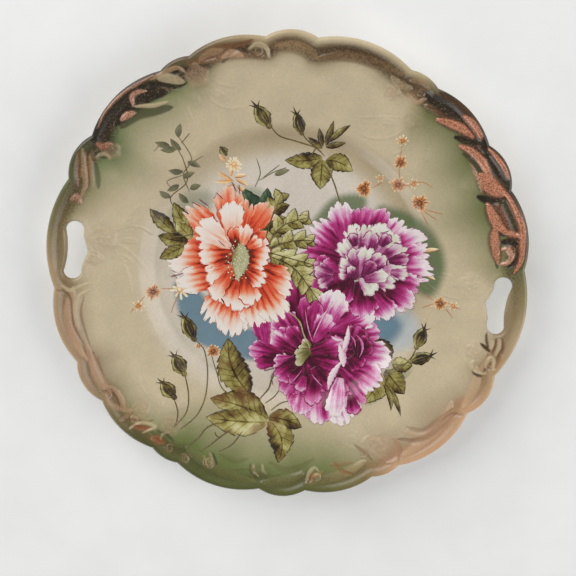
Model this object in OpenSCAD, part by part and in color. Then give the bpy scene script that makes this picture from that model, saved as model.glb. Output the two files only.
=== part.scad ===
// Open-handled porcelain cake plate with a scalloped, embossed border.
// It lies face up on its foot ring. The origin is the centre of the table side,
// +Z is up, and +X runs from the centre to the right handle.

/* [Plate] */
// Radius to the crests of the broad scallops
rim_r = 134; // [130:1:138]
// Height of the rim's edge above the table
rim_h = 25; // [23:0.5:28]
// Radius of the flat floor
well_r = 74; // [74:0.5:76]
// Height of the floor's upper face
well_h = 7; // [6:0.5:8]
// Outer radius of the curved wall around the floor
cavetto_r = 85; // [84:0.5:88]
// Height of the border where the curved wall ends
shoulder_h = 13; // [12:0.5:14.5]
// Radius where the smooth flange gives way to the embossed rim
flange_r = 118; // [116:0.5:119]
// Wall thickness under the floor
wall = 4; // [3.5:0.1:4.5]
// Wall thickness at the rim's edge
edge_wall = 3.2; // [2.8:0.1:4]

/* [Foot ring] */
// Mean radius of the foot ring
foot_r = 70.5; // [66:0.5:71]
// Width of the face that it stands on
foot_face_w = 2.6; // [2:0.1:3]
// Width of the ring where it leaves the body
foot_root_w = 5.4; // [4.5:0.1:6]

/* [Scallops] */
// How far the notches between scallops cut in from the crests
notch_depth = 3.7; // [3:0.1:4.5]
// Angles that the four scallops of a plain sixth take up
plain_widths = [12, 18, 7.5, 22.5];
// How far those scallops' crests stay inside the rim radius
plain_drops = [0.5, 0.8, 2.3, 0];
// Angles that the three scallops of a handle sixth take up
handle_widths = [12, 28, 20];
// How far those scallops' crests stay inside the rim radius
handle_drops = [0.5, 0, 0.6];

/* [Finger openings] */
// Distance from the plate's centre to the middle of an opening
slot_x = 119.3; // [118.5:0.1:120]
// Length of an opening
slot_l = 33; // [30:0.5:36]
// Width of an opening away from its middle
slot_w = 9.2; // [8.5:0.1:9.6]
// Distance from the plate's centre to the opening's inner point
slot_point_x = 112; // [111:0.5:113]
// How far the handle bar bows into the opening
slot_bow = 1.4; // [0.5:0.1:1.8]

/* [Relief] */
// Height that the raised bands and scrolls stand proud
relief_h = 1.1; // [0.8:0.1:1.4]
// Radius of the raised bands' round section
band_tube = 2.1; // [1.8:0.1:2.4]
// Distance of the bands inside the edge of the scallops
band_inset = 9.5; // [9:0.5:10.5]
// Radius of a C-scroll's curl
scroll_r = 3.6; // [3.2:0.1:4]
// Radius of the scrolls' round section
scroll_tube = 1.5; // [1.3:0.1:1.7]
// Radius of an embossed rose
rose_r = 6; // [5:0.5:7]

/* [Printed flowers] */
// Thickness of the printed and painted layers
print_t = 0.2; // [0.15:0.05:0.3]

/* [Hidden] */
$fn = 360;
SMALL_FN = 64;
SIXTHS = ["right", "upper_right", "upper_left", "left", "lower_left", "lower_right"];
HANDLES = [0, 3];
PLAINS = [1, 2, 4, 5];

IVORY = [0.84, 0.80, 0.68];
GREEN = [0.42, 0.47, 0.31];
COPPER = [0.72, 0.42, 0.31];
SIXTH = 60;
EDGE_OVER = 3;
notch_r = rim_r - notch_depth;
outer_r = rim_r + EDGE_OVER;
flange_slope = (rim_h - shoulder_h) / (rim_r - cavetto_r);
tilt = atan(flange_slope);
foot_h = well_h - wall;
STEPS = 10;
// Scallops between these angular widths carry a band, over this share of their arc
BAND_MIN = 15;
BAND_MAX = 25;
BAND_REACH = 0.8;
// Scrolls sit this far outside the flange, at these angles within a sixth
SCROLL_OUT = 6;
PLAIN_SCROLLS = [-24, 3.75];
HANDLE_SCROLLS = [-24, -13];
// Roses: distance from the centre and angle within a sixth
PLAIN_ROSE = [111, 0];
HANDLE_ROSE = [102, -4];

// Height of the upper face at a distance r from the centre: a flat floor, a curved wall
// that leaves it level and meets the border at the border's own slope, and the border.
function cavetto_z(t) =
  well_h * (2 * pow(t, 3) - 3 * pow(t, 2) + 1)
  + shoulder_h * (3 * pow(t, 2) - 2 * pow(t, 3))
  + flange_slope * (cavetto_r - well_r) * (pow(t, 3) - pow(t, 2));
function top_z(r) =
  r <= well_r ? well_h
  : r >= cavetto_r ? shoulder_h + flange_slope * (r - cavetto_r)
  : cavetto_z((r - well_r) / (cavetto_r - well_r));
function wall_at(r) = r <= well_r ? wall : wall + (edge_wall - wall) * (r - well_r) / (rim_r - well_r);
function under_z(r) = top_z(r) - wall_at(r);
function spaced(a, b, n) = [for (i = [0:n]) a + (b - a) * i / n];

// The wall's cross-section between two radii
module section(a, b, n) {
  top = [for (r = spaced(a, b, n)) [r, top_z(r)]];
  under = [for (r = spaced(b, a, n)) [r, under_z(r)]];
  polygon(concat(top, under));
}

// Everything under the border's upper face, for trimming what stands on it
module below_surface() {
  rotate_extrude()
    polygon([
      [cavetto_r, top_z(cavetto_r)], [outer_r, top_z(outer_r)],
      [outer_r, -rose_r], [cavetto_r, -rose_r]
    ]);
}

// A scallop is a circular arc through two notches and its own crest.
function arc_centre(width, crest) =
  (pow(crest, 2) - pow(notch_r, 2)) / (2 * (crest - notch_r * cos(width / 2)));
function start_of(widths, i) = i == 0 ? 0 : widths[i - 1] + start_of(widths, i - 1);
function mid_of(widths, i) = start_of(widths, i) + widths[i] / 2 - SIXTH / 2;

module sector(a, b) {
  rotate([0, 0, -SIXTH / 2]) rotate_extrude(angle = SIXTH) section(a, b, 1);
}

// One sixth of the rim outside the flange: a plain arc widened by its scallops
module rim_sixth(widths, drops) {
  sector(flange_r, notch_r - 1);
  for (i = [0:len(widths) - 1]) {
    crest = rim_r - drops[i];
    c = arc_centre(widths[i], crest);
    intersection() {
      sector(flange_r, outer_r);
      rotate([0, 0, mid_of(widths, i)]) translate([c, 0, 0]) cylinder(r = crest - c, h = 2 * rim_h);
    }
  }
}

// A finger opening: rounded ends, a point towards the centre, and a bowed handle side
module finger_opening() {
  end_r = slot_w / 2;
  end_y = slot_l / 2 - end_r;
  bow_r = (pow(end_y, 2) + pow(slot_bow, 2)) / (2 * slot_bow);
  linear_extrude(2 * rim_h)
    difference() {
      union() {
        for (side = [-1, 1]) translate([slot_x, side * end_y]) circle(end_r);
        translate([slot_x, 0]) square([slot_w, 2 * end_y], center = true);
        polygon([[slot_point_x, 0], [slot_x - end_r, end_y * 0.7], [slot_x, 0], [slot_x - end_r, -end_y * 0.7]]);
      }
      translate([slot_x + end_r + bow_r - slot_bow, 0]) circle(bow_r);
    }
}

module well_floor() {
  color(IVORY) translate([0, 0, foot_h]) cylinder(r = well_r, h = wall);
}

module cavetto() {
  color(IVORY) rotate_extrude() section(well_r, cavetto_r, STEPS);
}

module flange() {
  color(IVORY)
    difference() {
      rotate_extrude() section(cavetto_r, flange_r, 1);
      for (a = [0, 180]) rotate([0, 0, a]) finger_opening();
    }
}

module foot_ring() {
  face = foot_face_w / 2;
  root = foot_root_w / 2;
  color(IVORY)
    rotate_extrude()
      polygon([[foot_r - face, 0], [foot_r + face, 0], [foot_r + root, foot_h], [foot_r - root, foot_h]]);
}

module handle() {
  color(GREEN)
    difference() {
      rim_sixth(handle_widths, handle_drops);
      finger_opening();
    }
}

module rim() {
  color(GREEN) rim_sixth(plain_widths, plain_drops);
}

// Raised bands follow the middling and broad scallops inside their edge, but not the handle bar.
module band(widths, drops) {
  color(COPPER)
    difference() {
      for (i = [0:len(widths) - 1]) {
        if (widths[i] > BAND_MIN && widths[i] < BAND_MAX) {
          crest = rim_r - drops[i];
          c = arc_centre(widths[i], crest);
          r = crest - c - band_inset;
          half = BAND_REACH * atan2(notch_r * sin(widths[i] / 2), notch_r * cos(widths[i] / 2) - c);
          rotate([0, 0, mid_of(widths, i)])
            translate([c, 0, top_z(c + r) + relief_h - band_tube])
              rotate([0, 0, -half])
                rotate_extrude(angle = 2 * half) translate([r, 0]) circle(band_tube, $fn = SMALL_FN);
        }
      }
      below_surface();
    }
}

// Places a shape on the border at radius r and angle a, tilted to its slope
module on_border(r, a) {
  rotate([0, 0, a]) translate([r, 0, top_z(r)]) rotate([0, -tilt, 0]) children();
}

// A C-scroll: an open curl with a bead at each end
module c_scroll(open_at) {
  translate([0, 0, relief_h - scroll_tube])
    rotate([0, 0, open_at]) {
      rotate_extrude(angle = 250, $fn = SMALL_FN) translate([scroll_r, 0]) circle(scroll_tube);
      for (a = [0, 250]) rotate([0, 0, a]) translate([scroll_r, 0, 0]) sphere(scroll_tube * 1.25, $fn = SMALL_FN);
    }
}

module scroll(places) {
  color(COPPER)
    difference() {
      for (a = places) on_border(flange_r + SCROLL_OUT, a) c_scroll(-a * 4);
      below_surface();
    }
}

// An embossed leaf is the lens where two large spheres cross, kept low by a third.
module embossed_leaf(length, width) {
  bulge = (pow(length / 2, 2) - pow(width / 2, 2)) / width;
  intersection() {
    for (side = [-1, 1]) translate([0, side * bulge, 0]) sphere(bulge + width / 2, $fn = 3 * SMALL_FN);
    translate([0, 0, -length]) sphere(length + relief_h * 0.8, $fn = 2 * SMALL_FN);
  }
}

module rose(r, a) {
  color(IVORY)
    difference() {
      on_border(r, a) {
        translate([0, 0, -rose_r * 1.6]) sphere(rose_r * 1.8, $fn = 2 * SMALL_FN);
        for (k = [0:4]) rotate([0, 0, 72 * k]) translate([rose_r * 0.62, 0, -0.6]) sphere(rose_r * 0.42, $fn = SMALL_FN);
        for (a = [115, 180, 245]) rotate([0, 0, a]) translate([rose_r * 1.75, 0, 0]) embossed_leaf(9, 3);
      }
      below_surface();
      finger_opening();
    }
}

// Printed layers: a flat outline carried up onto the plate's upper face as a thin skin
module printed() {
  wall_r = spaced(well_r, cavetto_r, STEPS);
  edge = [flange_r, top_z(flange_r)];
  lower = concat([[0, well_h]], [for (r = wall_r) [r, top_z(r)]], [edge]);
  upper = [for (i = [len(lower) - 1:-1:0]) lower[i] + [0, print_t]];
  intersection() {
    rotate_extrude() polygon(concat(lower, upper));
    linear_extrude(2 * rim_h) children();
  }
}

// Flower outlines: centre, radius of the core, then petals round it
CORAL = [[-31, -1], 25, 11, 10];
UPPER = [[43, 12], 22, 10, 9];
LOWER = [[20, -49], 25, 11, 10];
module flower_outline(f) {
  translate(f[0]) {
    circle(f[1]);
    for (k = [1:f[3]]) rotate(360 * k / f[3]) translate([f[1], 0]) circle(f[2]);
  }
}

module peony_coral() {
  color([0.85, 0.42, 0.28]) printed() flower_outline(CORAL);
}

module peony_magenta_upper() {
  color([0.55, 0.14, 0.36]) printed() flower_outline(UPPER);
}

module peony_magenta_lower() {
  color([0.62, 0.14, 0.40])
    printed()
      difference() {
        flower_outline(LOWER);
        flower_outline(CORAL);
        flower_outline(UPPER);
      }
}

// A printed leaf from its base: length, half width, direction
module leaf_outline(at, length, half_w, turn) {
  r = (pow(length / 2, 2) + pow(half_w, 2)) / (2 * half_w);
  translate(at) rotate(turn) translate([length / 2, 0])
    intersection() {
      translate([0, r - half_w]) circle(r);
      translate([0, half_w - r]) circle(r);
    }
}

// Big leaves: base, length, half width, direction
LEAVES = [
  [[2, -84], 36, 10, 190], [[3, -85], 28, 7, 285], [[-10, -76], 33, 9, 120],
  [[60, -48], 19, 5, 330], [[56, -56], 17, 5, 300], [[58, -42], 15, 5, 60],
  [[12, 66], 20, 4, 185], [[14, 66], 17, 5, 250], [[15, 68], 16, 4, 345],
  [[4, 8], 32, 7, 75]
];
module foliage() {
  color([0.38, 0.36, 0.16])
    printed()
      difference() {
        for (l = LEAVES) leaf_outline(l[0], l[1], l[2], l[3]);
        for (f = [CORAL, UPPER, LOWER]) flower_outline(f);
      }
}

// Buds and their stems: base of the bud, its direction, foot of the stem
BUD = [13, 3.2];
STEM_W = 1;
BUDS = [
  [[-52, -43], 115, [-46, -62]], [[-57, -60], 115, [-50, -84]], [[-62, -76], 120, [-52, -97]],
  [[79, -33], 80, [74, -46]], [[81, -41], 20, [77, -48]],
  [[-23, 80], 125, [-8, 74]], [[-4, 82], 95, [4, 74]]
];
module stem_outline(from, to) {
  inside_bud = 2;
  d = to - from;
  translate(from) rotate(atan2(d[1], d[0]))
    translate([-inside_bud, -STEM_W / 2]) square([norm(d) + inside_bud, STEM_W]);
}
module rosebuds() {
  color([0.46, 0.44, 0.20])
    for (b = BUDS)
      printed() {
        leaf_outline(b[0], BUD[0], BUD[1], b[1]);
        stem_outline(b[0], b[2]);
      }
}

// Small gold and orange flowers: centre and radius
SPRIGS = [
  [[-75, -22], 4], [[-37, -54], 4], [[36, 53], 4], [[54, 58], 4],
  [[53, 71], 3.5], [[67, 50], 4], [[88, -5], 4], [[-38, 57], 4.5]
];
module gilt_sprigs() {
  color([0.78, 0.48, 0.20])
    printed() for (s = SPRIGS) translate(s[0]) circle(s[1]);
}

well_floor();
cavetto();
flange();
foot_ring();
for (i = HANDLES)
  rotate([0, 0, SIXTH * i]) handle();
for (i = PLAINS)
  rotate([0, 0, SIXTH * i]) rim();
for (i = [0:5]) {
  at_handle = i % 3 == 0;
  widths = at_handle ? handle_widths : plain_widths;
  drops = at_handle ? handle_drops : plain_drops;
  scrolls = at_handle ? HANDLE_SCROLLS : PLAIN_SCROLLS;
  flower = at_handle ? HANDLE_ROSE : PLAIN_ROSE;
  rotate([0, 0, SIXTH * i]) {
    band(widths, drops);
    scroll(scrolls);
    rose(flower[0], flower[1]);
  }
}
peony_coral();
peony_magenta_upper();
peony_magenta_lower();
foliage();
rosebuds();
gilt_sprigs();
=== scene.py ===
"""Round open-handled china platter: an embossed, scalloped porcelain plate with a painted
border, and a printed bouquet of three peonies laid on its upper face as thin enamel.

All shapes are worked out in millimetres in the CAD's own frame (+X right handle, +Y the edge
nearest the camera's top, +Z up) and turned into metres as each mesh is made."""
import math

import bpy
import numpy as np
from mathutils import Matrix, Vector


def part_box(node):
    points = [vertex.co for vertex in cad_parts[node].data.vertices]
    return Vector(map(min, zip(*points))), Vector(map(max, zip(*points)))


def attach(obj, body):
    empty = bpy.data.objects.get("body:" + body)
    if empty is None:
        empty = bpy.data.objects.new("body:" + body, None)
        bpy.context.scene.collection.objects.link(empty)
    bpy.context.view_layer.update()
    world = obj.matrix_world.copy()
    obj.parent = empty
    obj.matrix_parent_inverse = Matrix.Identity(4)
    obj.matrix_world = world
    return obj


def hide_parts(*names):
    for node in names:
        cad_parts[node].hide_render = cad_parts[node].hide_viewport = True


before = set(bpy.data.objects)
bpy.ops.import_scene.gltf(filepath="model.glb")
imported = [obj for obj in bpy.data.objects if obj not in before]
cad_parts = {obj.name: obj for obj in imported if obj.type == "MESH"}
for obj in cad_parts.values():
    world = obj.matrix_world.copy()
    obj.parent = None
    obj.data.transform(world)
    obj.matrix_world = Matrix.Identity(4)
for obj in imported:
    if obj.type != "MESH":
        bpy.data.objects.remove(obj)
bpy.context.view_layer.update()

MM = 0.001


def mm_box(node):
    """A node's lowest and highest corners at rest, in mm."""
    low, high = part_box(node)
    return np.array(low) / MM, np.array(high) / MM


# ---------------------------------------------------------------- sizes, from the frame
WELL_LOW, WELL_TOP = mm_box("well_floor")
WELL_R, WELL_H, WALL = WELL_TOP[0], WELL_TOP[2], WELL_TOP[2] - WELL_LOW[2]
CAVETTO_TOP = mm_box("cavetto")[1]
CAVETTO_R, SHOULDER_H = CAVETTO_TOP[0], CAVETTO_TOP[2]
FLANGE_TOP = mm_box("flange")[1]
FLANGE_R = FLANGE_TOP[0]
SLOPE = (FLANGE_TOP[2] - SHOULDER_H) / (FLANGE_R - CAVETTO_R)
FOOT_TOP = mm_box("foot_ring")[1]

# Driving dimensions that the boxes don't give, as in the CAD
RIM_R = 134
NOTCH_R = 130.3
EDGE_WALL = 3.2
FOOT_MEAN_R, FOOT_FACE = 70.5, 2.6
SLOT_X, SLOT_L, SLOT_W, SLOT_POINT_X, SLOT_BOW = 119.3, 33, 9.2, 112, 1.4

# Scallops of a plain sixth and of a handle sixth: angular width, drop of the crest
PLAIN_SCALLOPS = ((12, 0.5), (18, 0.8), (7.5, 2.3), (22.5, 0))
HANDLE_SCALLOPS = ((12, 0.5), (28, 0), (20, 0.6))
SIXTHS = ("right", "upper_right", "upper_left", "left", "lower_left", "lower_right")

# The border's grid: columns all the way round, and rows on the cavetto, the flange and the rim.
# RIM_START mm inside the edge the rows close up, at these distances from it, as it rounds over
COLUMNS = 1440
COLUMNS_PER_SIXTH = COLUMNS // 6
CAVETTO_ROWS, FLANGE_ROWS, RIM_ROWS = 16, 55, 20
RIM_START = 4
EDGE_STEPS = (3.5, 3, 2.5, 2, 1.6, 1.25, 0.9, 0.6, 0.35, 0.15, 0.04, 0)
EDGE_ROUND = SLOT_ROUND = 1.6
# Grid points this near a finger opening's outline are moved onto it
SNAP = 0.32

# Raised roll and channel along the edge, and the lip round a finger opening: distance, half width
ROLL, CHANNEL, LIP = (2.4, 3.4), (6.6, 3.2), (1.9, 2.2)
# The border's relief grows back over this distance from an opening, and the surface's own over less
SLOT_PLAIN, SLOT_FADE = 3, 1.2


# ---------------------------------------------------------------- small helpers
def srgb(r, g, b):
    """A colour given as screen values 0 to 255, as linear numbers."""
    c = np.array([r, g, b], float) / 255
    return np.where(c <= 0.04045, c / 12.92, ((c + 0.055) / 1.055) ** 2.4)


def ease(v):
    """From 0 to 1 with a soft start and end."""
    v = np.clip(v, 0, 1)
    return v * v * (3 - 2 * v)


def hump(v, centre, half):
    """1 at the centre, falling smoothly to 0 at half on either side."""
    q = np.clip(np.abs(v - centre) / half, 0, 1)
    return (1 - q * q) ** 2


def curve(points, step=0.5):
    """A smooth line through a few points (Catmull-Rom)."""
    p = np.array(points, float)
    p = np.vstack([2 * p[0] - p[1], p, 2 * p[-1] - p[-2]])
    out = []
    for a, b, c, d in zip(p[:-3], p[1:-2], p[2:-1], p[3:]):
        n = max(3, int(np.hypot(*(c - b)) / step))
        t = np.linspace(0, 1, n, endpoint=False)[:, None]
        out.append(0.5 * (2 * b + (c - a) * t + (2 * a - 5 * b + 4 * c - d) * t ** 2
                          + (3 * b - a - 3 * c + d) * t ** 3))
    return np.vstack(out + [p[-2][None]])


def polar(r, degrees):
    """The point in plan at a radius and an angle."""
    return r * math.cos(math.radians(degrees)), r * math.sin(math.radians(degrees))


# ---------------------------------------------------------------- the plate's own surface
def scallop_list():
    """Start angle, width, distance of the arc's centre and its radius, for each scallop."""
    rows = []
    for sixth in range(6):
        start = 60 * sixth - 30
        for width, drop in HANDLE_SCALLOPS if sixth % 3 == 0 else PLAIN_SCALLOPS:
            crest = RIM_R - drop
            half = math.radians(width / 2)
            c = (crest ** 2 - NOTCH_R ** 2) / (2 * (crest - NOTCH_R * math.cos(half)))
            rows.append((start, width, c, crest - c))
            start += width
    return np.array(rows)


SCALLOPS = scallop_list()


def scallop_of(degrees):
    """Which scallop each angle falls in."""
    turned = (degrees + 30) % 360 - 30
    return np.clip(np.searchsorted(SCALLOPS[:, 0], turned, side="right") - 1, 0, len(SCALLOPS) - 1)


def edge_radius(degrees):
    """Radius of the scalloped edge at each angle."""
    row = SCALLOPS[scallop_of(degrees)]
    away = np.radians((degrees + 30) % 360 - 30 - row[:, 0] - row[:, 1] / 2)
    return row[:, 2] * np.cos(away) + np.sqrt(row[:, 3] ** 2 - (row[:, 2] * np.sin(away)) ** 2)


def inset(x, y):
    """How far a point lies inside the scalloped edge; deep inside, at least this far."""
    own = scallop_of(np.degrees(np.arctan2(y, x)))
    deepest = NOTCH_R - np.hypot(x, y)
    for step in (-1, 0, 1):
        start, width, c, r = SCALLOPS[(own + step) % len(SCALLOPS)].T
        middle = np.radians(start + width / 2)
        deepest = np.maximum(deepest, r - np.hypot(x - c * np.cos(middle), y - c * np.sin(middle)))
    return deepest


def base_height(r):
    """Height of the plain upper face: the well's curved wall, then the straight flange."""
    run = CAVETTO_R - WELL_R
    t = np.clip((r - WELL_R) / run, 0, 1)
    wall = (WELL_H * (2 * t ** 3 - 3 * t ** 2 + 1) + SHOULDER_H * (3 * t ** 2 - 2 * t ** 3)
            + SLOPE * run * (t ** 3 - t ** 2))
    return np.where(r < CAVETTO_R, wall, SHOULDER_H + SLOPE * (r - CAVETTO_R))


def wall_at(r):
    """Thickness of the wall, a little greater towards the edge."""
    return WALL + (EDGE_WALL - WALL) * np.clip((r - WELL_R) / (RIM_R - WELL_R), 0, 1)


def slot_distance(x, y):
    """Signed distance to a finger opening's outline, below 0 inside it. Both openings."""
    x = np.abs(x)
    end_r = SLOT_W / 2
    end_y = SLOT_L / 2 - end_r
    body = np.hypot(x - SLOT_X, np.maximum(np.abs(y) - end_y, 0)) - end_r
    run, rise = SLOT_X - end_r - SLOT_POINT_X, end_y * 0.7
    length = math.hypot(run, rise)
    point = ((SLOT_POINT_X - x) * rise + np.abs(y) * run) / length
    point = np.maximum(np.maximum(point, np.abs(y) - rise), x - SLOT_X)
    shape = np.minimum(body, point)
    bow_r = (end_y ** 2 + SLOT_BOW ** 2) / (2 * SLOT_BOW)
    bow = bow_r - np.hypot(x - (SLOT_X + end_r + bow_r - SLOT_BOW), y)
    return np.maximum(shape, bow)


def round_off(distance, radius):
    """How far a rounded edge has fallen at a distance inside it."""
    q = np.clip(1 - distance / radius, 0, 1)
    return radius * (1 - np.sqrt(1 - q * q))


# ---------------------------------------------------------------- border colours
IVORY = srgb(204, 188, 156)
WELL_IVORY = srgb(214, 204, 190)
# Painted shade, laid on the well's slope towards the upper right
SLOPE_PAINTED_SHADE = srgb(178, 160, 126)
UNDER_WHITE = srgb(222, 217, 204)
# The lamps brighten the glaze, so the sprayed shades are laid on this much deeper
SPRAY_DEPTH, EDGE_DEPTH = 0.8, 0.9
# Paints of the strokes and the hollows
PAINTS = {
    "copper": srgb(218, 146, 112), "rosy": srgb(216, 164, 134), "cream": srgb(200, 180, 142),
    "brown": srgb(128, 88, 56), "tan": srgb(168, 136, 100),
    "pink": srgb(190, 152, 120), "gold": srgb(186, 138, 84), "olive": srgb(104, 100, 58),
    "black": srgb(36, 28, 16), "shade": srgb(66, 66, 38), "russet": srgb(150, 92, 56),
    "umber": srgb(78, 54, 32),
}
# Angle, edge roll, channel behind it, ridge, airbrushed shade, how far that reaches inwards
BORDER = (
    (-8, (198, 172, 134), (176, 150, 114), (198, 178, 144), (190, 172, 136), 8),
    (4, (146, 134, 90), (146, 130, 88), (180, 160, 122), (176, 160, 120), 14),
    (11, (104, 102, 60), (96, 94, 54), (150, 110, 72), (148, 146, 98), 26),
    (18, (60, 50, 28), (50, 42, 22), (176, 106, 74), (124, 128, 74), 36),
    (30, (46, 32, 18), (40, 32, 16), (176, 106, 74), (114, 124, 68), 39),
    (48, (48, 34, 20), (40, 32, 16), (176, 106, 74), (112, 120, 66), 33),
    (58, (66, 50, 30), (58, 46, 26), (140, 100, 66), (134, 134, 84), 24),
    (64, (186, 168, 128), (110, 86, 56), (160, 134, 98), (176, 160, 122), 14),
    (76, (214, 196, 160), (88, 62, 36), (122, 94, 62), (180, 162, 126), 10),
    (86, (218, 200, 164), (96, 70, 42), (128, 100, 68), (182, 164, 128), 10),
    (94, (208, 188, 152), (120, 96, 64), (146, 122, 88), (182, 166, 130), 8),
    (106, (188, 166, 126), (98, 70, 42), (130, 98, 66), (182, 164, 130), 10),
    (116, (120, 100, 66), (90, 66, 40), (164, 124, 92), (170, 156, 118), 12),
    (126, (84, 64, 40), (54, 42, 24), (120, 86, 56), (128, 136, 84), 21),
    (148, (50, 42, 26), (44, 38, 22), (80, 62, 40), (118, 132, 82), 32),
    (156, (84, 80, 46), (84, 76, 44), (140, 112, 74), (132, 142, 92), 27),
    (166, (98, 98, 56), (112, 96, 58), (160, 132, 94), (164, 154, 112), 18),
    (176, (146, 134, 94), (142, 122, 82), (176, 152, 112), (180, 162, 124), 12),
    (184, (188, 160, 122), (160, 138, 100), (184, 160, 124), (186, 166, 130), 10),
    (198, (192, 160, 122), (160, 130, 96), (186, 154, 122), (184, 162, 126), 14),
    (216, (190, 158, 122), (160, 130, 98), (190, 160, 128), (180, 160, 126), 16),
    (226, (130, 116, 76), (140, 120, 80), (160, 136, 96), (164, 156, 112), 13),
    (234, (84, 80, 42), (98, 88, 48), (118, 104, 62), (136, 140, 84), 20),
    (250, (76, 82, 36), (92, 96, 48), (106, 106, 58), (120, 130, 72), 42),
    (270, (88, 92, 42), (98, 102, 52), (112, 112, 64), (122, 134, 74), 42),
    (288, (100, 98, 52), (110, 106, 60), (128, 118, 74), (134, 140, 84), 36),
    (298, (134, 118, 70), (144, 126, 80), (180, 156, 112), (158, 154, 106), 24),
    (306, (222, 176, 136), (196, 156, 120), (206, 170, 134), (190, 168, 132), 20),
    (318, (224, 176, 134), (204, 160, 122), (208, 172, 136), (192, 168, 134), 20),
    (332, (222, 176, 134), (198, 156, 118), (206, 172, 136), (192, 168, 134), 16),
    (341, (200, 166, 122), (172, 142, 104), (196, 168, 132), (188, 168, 130), 12),
    (352, (198, 172, 134), (176, 150, 114), (198, 178, 144), (190, 172, 136), 8),
)


def border_at(degrees):
    """The five border values at each angle, from the list above."""
    turned = (degrees + 8) % 360 - 8
    angles = [row[0] for row in BORDER]
    shades = []
    for k in range(1, 5):
        stops = np.array([srgb(*row[k]) for row in BORDER])
        shades.append(np.stack([np.interp(turned, angles, stops[:, c]) for c in range(3)], 1))
    return shades + [np.interp(turned, angles, [row[5] for row in BORDER])]


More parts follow.
